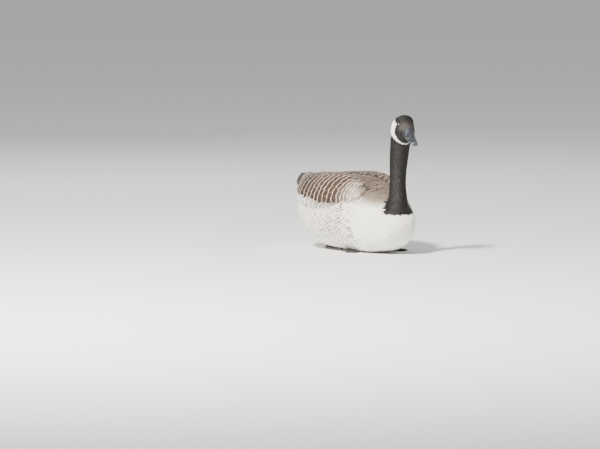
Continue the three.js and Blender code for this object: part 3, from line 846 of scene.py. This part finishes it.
def wing_coverts(side, rng):
    surface = partial(wing_point, side)

    def row(f, angle):
        return -ROW_SLANT * smoothstep(-f, -20, 140) * angle / math.pi

    fs = [COVERT_START]
    while fs[-1] > COVERT_END:
        fs.append(fs[-1] - float(covert_pitch(fs[-1])))
    f, angle = rows_on(surface, fs, COVERT_SPACING, 0.1, 2.98)
    root = f + row(f, angle) + varied(rng, len(f), -1, 1)
    inner = smoothstep(angle, 2.1, 2.8)
    rear = smoothstep(-f, 50, 90)
    front = smoothstep(f, 40, 105) * (1 - smoothstep(angle, 1.4, 2.9))
    base = blended(blended(WING_BROWN, TERTIAL, rear), MANTLE, inner * (1 - rear))
    base = blended(base, WING_FRONT, 0.8 * front)
    edge = blended(blended(WING_EDGE, MANTLE_EDGE, 0.6 * inner), BREAST_EDGE, 0.6 * front)
    fringe = lerp(lerp(0.075, 0.055, rear), 0.12, front)
    args = ("coverts", surface, root, angle, covert_pitch(f), COVERT_SPACING)
    shades = (base, edge, 0.34, fringe)
    return rowed_coat(rng, "coverts_" + word(side), *args, lambda length: shades, row=row, bow=0.03)


def flank_cover(side, rng):
    """White flank feathers that lap over the lower edge of the folded wing."""
    surface = partial(wing_point, side)

    def row(f, angle):
        return COVER_SLANT * angle

    def high(f):
        return 0.05 + 0.45 * smoothstep(-f, -40, 120) - 0.1 * smoothstep(-f, 170, 250)

    f, angle = rows_on(surface, np.arange(30, -262, -COVER_PITCH), COVER_SPACING, -0.35, high)
    root = f + row(f, angle) + varied(rng, len(f), -1.5, 1.5)
    args = ("flank_cover", surface, root, angle, 1, COVER_SPACING)
    shades = (lerp(FLANK, VENT, 0.3), VENT, 0.2, 0.22)
    return rowed_coat(rng, "flank_cover_" + word(side), *args, lambda length: shades, row=row, bow=0.04)


# Flight feathers from the lowest, 0, to the highest, 1, each a step over the one below it
TIERS = records(
    "count f0 f1 tip0 tip1 low high wide lift step rise base edge",
    primaries=(10, -205, -222, -316, -342, 0.4, 2.35, 20, -3.2, 0.4, 0.8, PRIMARY, PRIMARY_EDGE),
    secondaries=(10, -150, -190, -214, -284, 0.3, 1.7, 24, -3.6, 0.2, 3.0, TERTIAL, TERTIAL_EDGE),
    tertials=(8, -138, -146, -262, -318, 1.2, 2.75, 27, -1.6, 0.4, 2.2, TERTIAL, TERTIAL_EDGE),
)


def wing_tier(side, name, rng):
    tier = TIERS[name]
    count = tier["count"]
    share = np.linspace(0, 1, count)
    f = lerp(tier["f0"], tier["f1"], share) + varied(rng, count, -2, 2)
    tip = lerp(tier["tip0"], tier["tip1"], share) + varied(rng, count, 0, 3)
    angle = lerp(tier["low"], tier["high"], share)
    lift = tier["lift"] + tier["step"] * np.arange(count)
    width = tier["wide"] * varied(rng, count, 0.95, 1.05)
    sizes = (f - tip, width, lift, np.full(count, tier["rise"]))
    colours = tinted(rng, count, tier["base"], tier["edge"], 0.18, 0.04)
    shape = LONG if name == "primaries" else ROUND
    return surface_vanes(name + "_" + word(side), shape, partial(wing_point, side), f, angle, sizes, colours)


# Tail: a fan of pairs, each a step below the one inside it
TAIL = {
    "pairs": 8, "wide": 21, "root_f": -262, "tip_f": -346, "round": 17, "root_z": 156, "tip_z": 158,
    "root0": 1.5, "root1": 18, "tip0": 4, "tip1": 49, "step": 1.0, "side": 0.45, "tilt": 0.25,
}


def build_tail(rng):
    v = LONG["across"][None, :]
    along = LONG["stations"][:, None] * (1 - 0.05 * v**2)
    across = v * LONG["widths"][:, None] * TAIL["wide"] / 2
    tops = []
    for side in (LEFT, RIGHT):
        for rank in range(TAIL["pairs"]):
            share = rank / (TAIL["pairs"] - 1)
            tip_f = TAIL["tip_f"] + TAIL["round"] * share**2
            root_x = lerp(TAIL["root0"], TAIL["root1"], share)
            x = lerp(root_x, lerp(TAIL["tip0"], TAIL["tip1"], share), along) + across
            drop = TAIL["step"] * rank + (0 if side == LEFT else TAIL["side"])
            z = lerp(TAIL["root_z"], TAIL["tip_z"], along) - drop + TAIL["tilt"] * v + 0.5 * (1 - v**2)
            tops.append(at(side * x, lerp(TAIL["root_f"], tip_f, along), z)[:, ::side])
    count = len(tops)
    bake = np.stack([np.linspace(0.1, 0.9, count), np.full(count, 0.5)], axis=-1)
    colours = tinted(rng, count, BLACK * 1.25, BLACK_EDGE * 1.3, 0.2, 0.04)
    return vane_object("tail_feathers", LONG, np.array(tops), THICK_TAIL, colours, bake)


# Scattered coats. colour_at is the share of the length where the colours are read, ragged the jitter of their
# borders, spread the differences between feathers, and curve the radius that the vanes bend round
SCATTERED = records(
    "apart length width lift rise colour_at ragged spread curve shape",
    breast=(3.5, (13, 16), (7, 9), (-0.6, -0.1), (1.6, 2.6), 0.75, 1.2, 0.14, 70, SOFT),
    neck=(2.1, (7, 9), (3.3, 4.4), (-0.3, 0.1), (0.7, 1.3), 0.6, 2, 0.35, 22, TINY),
    head=(1.3, (4.8, 6.0), (2.2, 2.9), (-0.25, 0.05), (0.4, 0.8), 0, 2.5, 0.3, 26, TINY),
)


def scattered_coat(name, kind, tree, rng, roots, normals, flow, bake, long=1, wide=1, high=1, higher=0):
    """A coat of small vanes. long, wide and high scale them, and higher adds to the rise of their tips."""
    size = SCATTERED[kind]
    count = len(roots)
    draw = partial(varied, rng, count)
    length = draw(*size["length"]) * long
    width = draw(*size["width"]) * wide
    ends = roots + size["colour_at"] * MM * length[:, None] * unit(flow)
    shades = plumage(ends, draw(-size["ragged"], size["ragged"]))
    fringe = fringe_of(ends) if kind == "breast" else PLAIN_FRINGE
    colours = tinted(rng, count, *shades, size["spread"], fringe)
    sizes = (length, width, draw(*size["lift"]), draw(*size["rise"]) * high + higher)
    args = (roots, normals, flow, sizes, size["curve"], colours, bake)
    return scattered_vanes(name, size["shape"], tree, *args)


def build_breast(skin, tree, side, rng):
    def keep(p):
        x, f, z = measures(p)
        reach = lerp(104, 80, smoothstep(z, 84, 122))
        return (side * x > 0) & (f > reach) & (z < 220) & (black_depth(p) < 2.5)

    def front_of(p):
        return smoothstep(measures(p)[1], 150, 215)

    def lie(p):
        front = front_of(p)
        return np.stack([0.012 * p[:, 0] / MM * front, np.ones(len(p)), -1.3 * front - 0.25], axis=-1)

    roots, normals = skin_samples(skin, keep, SCATTERED["breast"]["apart"], rng)
    outside = black_depth(roots + 9 * MM * unit(lie(roots))) < 0
    roots, normals = roots[outside], normals[outside]
    _, f, _ = measures(roots)
    scale = lerp(0.72, 1.0, smoothstep(-black_depth(roots), 0, 45)) * lerp(1.6, 1.0, smoothstep(f, 85, 140))
    bake = bake_square(f, BAKE_F, np.arctan2(roots[:, 0], roots[:, 2] - 0.09))
    args = ("breast", tree, rng, roots, normals, lie(roots), bake)
    higher = 1.6 * (1 - front_of(roots))
    return scattered_coat("breast_feathers_" + word(side), *args, long=scale, wide=scale, higher=higher)


def build_neck(skin, tree, rng):
    def keep(p):
        _, f, z = measures(p)
        a, _, _ = in_head(p)
        return (black_depth(p) > -1) & (f > 130) & (z < 318) & ((z < 296) | (a < 12))

    roots, normals = skin_samples(skin, keep, SCATTERED["neck"]["apart"], rng)
    flow = np.broadcast_to([0, 0.25, -1.0], roots.shape)
    x, f, z = measures(roots)
    bake = bake_square(z, (90, 330), np.arctan2(x, f - 198))
    long = lerp(0.6, 1.0, smoothstep(black_depth(roots), 0, 18))
    high = lerp(0.4, 1, smoothstep(z, 118, 160))
    args = ("neck", tree, rng, roots, normals, flow, bake)
    return scattered_coat("neck_feathers", *args, long=long, high=high)


def build_head(skin, tree, rng):
    def keep(p):
        a, _, c = in_head(p)
        _, _, z = measures(p)
        eye = (a - EYE["a"]) ** 2 + (c - EYE["c"]) ** 2 < (EYE["radius"] - 0.2) ** 2
        return (z > 296) & (a < 22.5) & ((z > 316) | (a >= 10)) & ~eye

    roots, normals = skin_samples(skin, keep, SCATTERED["head"]["apart"], rng)
    a, b, c = in_head(roots)
    fall = np.clip(smoothstep(-a, 8, 34) + smoothstep(-c, 14, 42), 0, 1)[:, None]
    flow = HEAD_TURN @ np.array([0, 1, 0.0]) * (1 - fall) + np.array([0, 0.25, -1.0]) * fall
    bake = bake_square(a, (-45, 35), np.arctan2(b, c + 12))
    scale = lerp(1.0, 0.62, smoothstep(a, -14, 16))
    args = ("head", tree, rng, roots, normals, flow, bake)
    return scattered_coat("head_feathers", *args, long=scale, wide=scale)


# Eyes, and the lids as rings round them that are thicker at the brow
LID = {
    "ring": 5.75, "over": 0.35, "thick": 0.62, "brow": 0.2, "sink": 0.1, "bow": 0.4, "long": 1.06, "high": 0.9
}


def build_eye(side):
    polar = np.linspace(0, math.pi, 25)[1:-1, None]
    turn = circle(40)
    r = EYE["radius"]
    rings = on_head(
        EYE["a"] + r * np.sin(polar) * np.cos(turn),
        side * (EYE["out"] + r * np.cos(polar)),
        EYE["c"] + r * np.sin(polar) * np.sin(turn),
    )
    return solid_object("eye_ball_" + word(side), [loft(rings)])


def build_lid(side):
    sides, tube = 56, 12
    turn = circle(sides)[:, None]
    phi = circle(tube)
    out = EYE["out"] + math.sqrt(EYE["radius"] ** 2 - LID["ring"] ** 2) - LID["sink"]
    thick = LID["thick"] + LID["brow"] * np.maximum(np.sin(turn), 0)
    radius = LID["ring"] + LID["over"] + thick * np.cos(phi)
    a = EYE["a"] + radius * np.cos(turn) * LID["long"]
    c = EYE["c"] + radius * np.sin(turn) * LID["high"]
    b = side * (out - LID["bow"] * np.abs(np.cos(turn)) + LID["high"] * thick * np.sin(phi))
    quads = grid_faces(sides + 1, tube, True) % (sides * tube)
    return solid_object("lid_" + word(side), [(on_head(a, b, c).reshape(-1, 3), quads)])


# Bill
def mouth_height(a):
    return np.interp(a, [MOUTH["a0"], MOUTH["a1"]], [MOUTH["c0"], MOUTH["c1"]])


def mandible(rows, key, sign, steps=130, sides=81):
    t = np.linspace(0, len(rows["a"]) - 1, steps)
    a = between(rows, "a", t)[:, None]
    half = between(rows, "half", t)[:, None]
    level = mouth_height(a) + sign * 0.25
    reach = between(rows, key, t)[:, None] - level
    reach = np.where(sign > 0, np.maximum(reach, 0.4), np.minimum(reach, -0.4))
    angle = np.linspace(0, math.pi, sides)[None, :]
    b = half * signed_power(np.cos(angle), 0.85)
    c = level + reach * signed_power(np.sin(angle), 0.85)
    return a + np.zeros_like(b), b, c


def toned_bill(name, a, b, c, tone):
    bill = solid_object(name, [loft(on_head(a, b, c))])
    tone = np.repeat(tone.reshape(-1, 1), 3, axis=1)
    paint(bill.data, tone, tone, 1.0)
    return bill


def build_upper_bill():
    """The upper mandible, with nostrils, a nail at the tip and fine teeth along its edge. Its tone holds
    painted shade in the nostrils and a painted highlight on the nail.
    """
    a, b, c = mandible(BILL_UPPER, "top", 1)
    ahead = (a - NOSTRIL["a"]) / NOSTRIL["long"]
    near = 1 - smoothstep(ahead**2 + ((c - NOSTRIL["c"]) / NOSTRIL["high"]) ** 2, 0.45, 1.0)
    rim = np.exp(-((ahead / 1.6) ** 2) - ((c - NOSTRIL["c"]) / 4.2) ** 2)
    wide = np.abs(b) > 5
    b = b + np.sign(b) * np.where(wide, 0.8 * rim - NOSTRIL["deep"] * near, 0)
    # Painted shade: the tone is darkened inside the dented nostrils
    dark = np.where(wide, near, 0)
    # The nail is raised, and its tone is lightened by a painted highlight
    nail = smoothstep(a, NAIL["start"], NAIL["start"] + 2.5) * smoothstep(NAIL["half"] - np.abs(b), 0, 1.2)
    nail = nail * (1 - smoothstep(a, 76, 80))
    c = c - HOOK * smoothstep(a, 70, 80.5) ** 2 + NAIL["rise"] * nail
    edge = np.exp(-(((c - mouth_height(a)) / 1.6) ** 2)) * smoothstep(a, 24, 30) * (1 - smoothstep(a, 64, 70))
    b = b + np.sign(b) * edge * (0.35 + 0.3 * np.sin(a * 2 * math.pi / 2.3))
    return toned_bill("bill_top", a, b, c, 1 - 0.9 * dark + 0.9 * nail)


def build_lower_bill():
    a, b, c = mandible(BILL_LOWER, "bottom", -1)
    return toned_bill("bill_below", a, b, c, np.full(a.shape, 0.9))


# Legs and feet
LEG_VOXEL = 0.0009
LEG_PASSES = 5
SCUTE = {"step": 3.3, "rise": 0.32, "inner": 2.6, "outer": 4.6}


def node_surface(name):
    """Vertices and faces of a node of the frame."""
    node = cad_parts[name]
    points = np.array([node.matrix_world @ v.co for v in node.data.vertices])
    return points, [list(p.vertices) for p in node.data.polygons]


def from_line(spots, start, end):
    """Distance of spots from a line drawn on the floor, and how far along it they lie."""
    run = np.subtract(end, start)
    long = np.linalg.norm(run)
    along = np.clip((spots - start) @ run / long, 0, long)
    return np.linalg.norm(spots - start - along[:, None] * run / long, axis=1), along


def build_leg(side):
    """The leg and foot as one rounded skin, with a row of scutes along the leg and each toe."""
    parts = [node_surface(node + word(side)) for node in ("leg_", "foot_")]
    leg = rounded_object("leg_and_foot_" + word(side), parts, LEG_VOXEL, LEG_PASSES)
    points = per_vertex(leg.data, "co")
    normals = per_vertex(leg.data, "normal")
    spots = points[:, :2] / MM * (side, -1)
    lines = [((LEG["x"], LEG["heel_f"]), (LEG["x"], LEG["ankle_f"]))]
    lines += [((LEG["x"] - 2, LEG["ankle_f"] + 6), toe) for toe in TOES]
    ridge = np.zeros(len(points))
    for start, end in lines:
        away, along = from_line(spots, start, end)
        near = 1 - smoothstep(away, SCUTE["inner"], SCUTE["outer"])
        ridge = np.maximum(ridge, near * np.abs(np.sin(math.pi * along / SCUTE["step"])) ** 0.6)
    up = smoothstep(normals[:, 2], 0.0, 0.5)
    points += normals * (SCUTE["rise"] * MM * ridge * up)[:, None]
    leg.data.vertices.foreach_set("co", points.ravel())
    leg.data.update()
    return leg


# Claws
CLAW = {"base": 2.3, "tip": 0.35, "long": 9.5, "high": 2.9, "low": 1.0, "in": 1.0}


def build_claws(side):
    share = np.linspace(0, 1, 9)[:, None]
    turn = circle(14)
    run = CLAW["in"] + CLAW["long"] * share
    radius = lerp(CLAW["base"], CLAW["tip"], share**1.3)
    z = lerp(CLAW["high"], CLAW["low"], share**2) + radius * np.sin(turn)
    parts = []
    for toe_x, toe_f in TOES:
        ahead = unit(np.array([toe_x - LEG["x"], toe_f - LEG["ankle_f"]], float))
        x = toe_x + ahead[0] * run + ahead[1] * radius * np.cos(turn)
        f = toe_f + ahead[1] * run - ahead[0] * radius * np.cos(turn)
        parts.append(loft(at(side * x, f, np.maximum(z, 0.3))))
    return solid_object("claws_" + word(side), parts)


# Materials
MIX_FIRST, MIX_SECOND, MIX_RESULT = 6, 7, 2  # the colour sockets of a Mix node


class Graph:
    """A material with helpers that add nodes to it. An input is a value or another node's output."""

    def __init__(self, name, rough):
        self.material = bpy.data.materials.new(name)
        self.material.use_nodes = True
        self.tree = self.material.node_tree
        self.shader = self.tree.nodes["Principled BSDF"]
        self.fill(self.shader, {"Roughness": rough})

    def fill(self, node, inputs):
        for socket, value in inputs.items():
            if isinstance(value, bpy.types.NodeSocket):
                self.tree.links.new(value, node.inputs[socket])
            else:
                node.inputs[socket].default_value = value

    def node(self, kind, inputs=None, **settings):
        made = self.tree.nodes.new("ShaderNode" + kind)
        for key, value in settings.items():
            setattr(made, key, value)
        self.fill(made, inputs or {})
        return made

    def math(self, operation, *values):
        return self.node("Math", dict(enumerate(values)), operation=operation).outputs[0]

    def fade(self, value, low, high, to_low=0.0, to_high=1.0):
        inputs = {"Value": value, "From Min": low, "From Max": high, "To Min": to_low, "To Max": to_high}
        return self.node("MapRange", inputs, interpolation_type="SMOOTHSTEP").outputs["Result"]

    def mix(self, kind, share, first, second):
        inputs = {0: share, MIX_FIRST: first, MIX_SECOND: second}
        return self.node("Mix", inputs, data_type="RGBA", blend_type=kind).outputs[MIX_RESULT]

    def noise(self, scale, detail, inputs=None):
        return self.node("TexNoise", {"Scale": scale, "Detail": detail, **(inputs or {})}).outputs["Fac"]

    def attribute(self, name):
        return self.node("Attribute", attribute_name=name).outputs

    def bump(self, strength, distance, height):
        inputs = {"Strength": strength, "Distance": distance, "Height": height}
        self.fill(self.shader, {"Normal": self.node("Bump", inputs).outputs["Normal"]})


# side is the share of the width that the fringe takes, and band the depth of the darker band
FEATHERS = records(
    "rough side band sheen gloss",
    contour_feathers=(0.75, 0.08, 0.2, 0.05, 0.15),
    dark_feathers=(0.42, 0.2, 0.1, 0.0, 0.26),
    wing_feathers=(0.7, 0.04, 0.45, 0.05, 0.15),
    flight_feathers=(0.6, 0.1, 0.2, 0.05, 0.15),
)
MOTTLED = records(
    "dark light scale rough bump coat",
    bill_horn=(0x1E2023, 0x3B3E44, 90, (0.28, 0.42), 0.0003, 0.25),
    eye_gloss=(0x060302, 0x100804, 300, (0.06, 0.08), 0.00001, 0.05),
    eye_rim=(0x443F39, 0x6C655D, 500, (0.5, 0.7), 0.0002, 0.0),
    claw_horn=(0x100F0D, 0x27241F, 300, (0.25, 0.4), 0.0002, 0.0),
    leg_skin=(0x1C1B18, 0x35332D, 260, (0.45, 0.65), 0.0005, 0.0),
)


def feather_material(name):
    """A vane: base colour, a darker band inside a pale fringe, a shaft and fine barbs."""
    look = FEATHERS[name]
    side = look["side"]
    g = Graph(name, look["rough"])
    base = g.attribute("Base")
    edge = g.attribute("Edge")
    place = g.node("UVMap", uv_map="Vane").outputs["UV"]
    split = g.node("SeparateXYZ", {0: place}).outputs
    along = split["Y"]
    across = g.math("ABSOLUTE", g.math("MULTIPLY", g.math("SUBTRACT", split["X"], 0.5), 2.0))
    tip = g.math("MAXIMUM", edge["Alpha"], 0.01)
    at_tip = g.math("SUBTRACT", 1.0, g.math("DIVIDE", g.math("SUBTRACT", 1.0, along), tip))
    at_side = g.math("DIVIDE", g.math("SUBTRACT", across, 1 - side), side)
    outer = g.fade(along, 0.45, 0.75)
    at_side = g.math("SUBTRACT", g.math("MULTIPLY", g.math("ADD", at_side, 2.0), outer), 2.0)
    spread = g.math("MULTIPLY", g.math("SUBTRACT", g.noise(420, 3), 0.5), 0.5)
    rim = g.math("ADD", g.math("MAXIMUM", at_tip, at_side), spread)
    fringe = g.fade(rim, -0.15, 0.2)
    inside = g.fade(rim, -1.8, -0.15)
    darker = g.math("SUBTRACT", 1.0, g.math("MULTIPLY", inside, look["band"]))
    body = g.mix("MULTIPLY", 1.0, base["Color"], darker)
    colour = g.mix("MIX", fringe, body, edge["Color"])
    shaft = g.fade(across, 0.03, 0.09, 0.75, 1.0)
    colour = g.mix("MULTIPLY", 0.6, colour, shaft)
    g.fill(g.shader, {"Base Color": colour, "Specular IOR Level": look["gloss"]})
    g.fill(g.shader, {"Sheen Weight": look["sheen"], "Sheen Roughness": 0.5})
    slanted = g.math("ADD", along, g.math("MULTIPLY", across, -0.35))
    line = g.node("CombineXYZ", {"X": slanted}).outputs[0]
    stretch = g.node("VectorMath", {0: line, 1: (3.2, 1, 1)}, operation="MULTIPLY").outputs[0]
    barbs = g.node("TexWave", {"Scale": 7, "Distortion": 1.2, "Vector": stretch}).outputs["Fac"]
    g.bump(0.25, 0.0004, barbs)
    return g.material


def skin_material():
    g = Graph("skin_plumage", 0.85)
    noise = g.noise(160, 4)
    shade = g.fade(noise, 0.2, 0.8, 0.75, 1.05)
    g.fill(g.shader, {"Base Color": g.mix("MULTIPLY", 1.0, g.attribute("Base")["Color"], shade)})
    g.bump(0.5, 0.001, noise)
    return g.material


def mottled_material(name):
    """Two tones in a noise, with the roughness and a fine relief from the same noise."""
    look = MOTTLED[name]
    g = Graph(name, look["rough"][0])
    noise = g.noise(look["scale"], 6, {"Vector": g.node("TexCoord").outputs["Object"]})
    tones = ((*linear(look[tone]), 1) for tone in ("dark", "light"))
    colour = g.mix("MIX", g.fade(noise, 0.3, 0.7), *tones)
    # The bill's Base colour brings in painted shade in the nostrils and a painted highlight on the nail
    if name == "bill_horn":
        colour = g.mix("MULTIPLY", 1.0, colour, g.attribute("Base")["Color"])
    g.fill(g.shader, {"Base Color": colour, "Roughness": g.fade(noise, 0.25, 0.75, *look["rough"])})
    g.fill(g.shader, {"Coat Weight": look["coat"], "Coat Roughness": 0.2})
    g.bump(0.4, look["bump"], noise)
    return g.material


def dressed(obj, material):
    obj.data.materials.clear()
    obj.data.materials.append(material)
    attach(obj, "root")
    return obj


# Stage
FLOOR_SIZE = 80
FLOOR_COLOUR = (0.8, 0.8, 0.78, 1)


def build_stage():
    size = FLOOR_SIZE
    corner = [(-size, -size, 0), (size, -size, 0), (size, size, 0), (-size, size, 0)]
    floor = new_object("floor", joined_mesh("floor", [(corner, [(0, 1, 2, 3)])]))
    g = Graph("floor_paint", 0.6)
    g.fill(g.shader, {"Base Color": FLOOR_COLOUR})
    floor.data.materials.append(g.material)


LIT_POINT = Vector((0, 0, 0.15))
LIGHTS = records(
    "place size energy color",
    key=((-2.9, -2.2, 3.2), 0.7, 760, (1.0, 0.965, 0.92)),
    fill=((3.2, -1.6, 1.8), 2.2, 15, (0.92, 0.96, 1.0)),
    back=((0.6, 3.4, 2.6), 1.8, 60, (1, 1, 1)),
)


def build_lights():
    """A pale world and round lamps that point at the middle of the goose."""
    world = bpy.data.worlds.new("studio")
    bpy.context.scene.world = world
    world.use_nodes = True
    background = world.node_tree.nodes["Background"]
    background.inputs["Color"].default_value = (0.97, 0.98, 1.0, 1)
    background.inputs["Strength"].default_value = 0.54
    for name, light in LIGHTS.items():
        data = bpy.data.lights.new(name, "AREA")
        data.shape = "DISK"
        for key in ("size", "energy", "color"):
            setattr(data, key, light[key])
        lamp = new_object(name, data)
        lamp.location = light["place"]
        lamp.rotation_euler = (LIT_POINT - lamp.location).to_track_quat("-Z", "Y").to_euler()


# Camera: the photograph's view, far away with a long lens
PHOTO_WIDTH = 600
SCALE = 2.65 * MM
VIEW_AZIMUTH = 25.5
VIEW_ELEVATION = 4.0
VIEW_DISTANCE = 20.0
VIEW_TARGET = (-158.1, -75.4, 68.5)
SENSOR = 36.0


def build_camera():
    data = bpy.data.cameras.new("camera")
    data.sensor_width = SENSOR
    data.sensor_fit = "HORIZONTAL"
    data.lens = SENSOR * VIEW_DISTANCE / (PHOTO_WIDTH * SCALE)
    data.clip_end = 200
    camera = new_object("camera", data)
    turn = math.radians(VIEW_AZIMUTH)
    rise = math.radians(VIEW_ELEVATION)
    target = Vector(at(*VIEW_TARGET))
    away = Vector((-math.sin(turn) * math.cos(rise), -math.cos(turn) * math.cos(rise), math.sin(rise)))
    camera.location = target + away * VIEW_DISTANCE
    camera.rotation_euler = (-away).to_track_quat("-Z", "Y").to_euler()
    bpy.context.scene.camera = camera


def build_goose():
    rng = np.random.default_rng(SEED)
    skin = build_skin()
    tree = BVHTree.FromPolygons(
        [v.co for v in skin.data.vertices],
        [p.vertices for p in skin.data.polygons],
    )
    plume, dark, wing, flight = map(feather_material, FEATHERS)
    horn, gloss, rim, claw, leg = map(mottled_material, MOTTLED)
    dressed(skin, skin_material())
    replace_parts(skin, "torso", "neck_lower", "neck_upper", "head", "wing_left", "wing_right")
    for piece in build_torso_feathers(rng):
        dressed(piece, plume)
    dressed(build_neck(skin, tree, rng), dark)
    dressed(build_head(skin, tree, rng), dark)
    for side in (LEFT, RIGHT):
        dressed(build_breast(skin, tree, side, rng), plume)
        dressed(flank_cover(side, rng), plume)
        dressed(wing_coverts(side, rng), wing)
        for name in TIERS:
            dressed(wing_tier(side, name, rng), flight)
    tail = dressed(build_tail(rng), flight)
    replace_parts(tail, "tail")
    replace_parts(dressed(build_upper_bill(), horn), "bill_upper")
    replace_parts(dressed(build_lower_bill(), horn), "bill_lower")
    for side in (LEFT, RIGHT):
        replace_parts(dressed(build_eye(side), gloss), "eye_" + word(side))
        dressed(build_lid(side), rim)
        dressed(build_claws(side), claw)
        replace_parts(dressed(build_leg(side), leg), "leg_" + word(side), "foot_" + word(side))


build_camera()
build_stage()
build_lights()
build_goose()
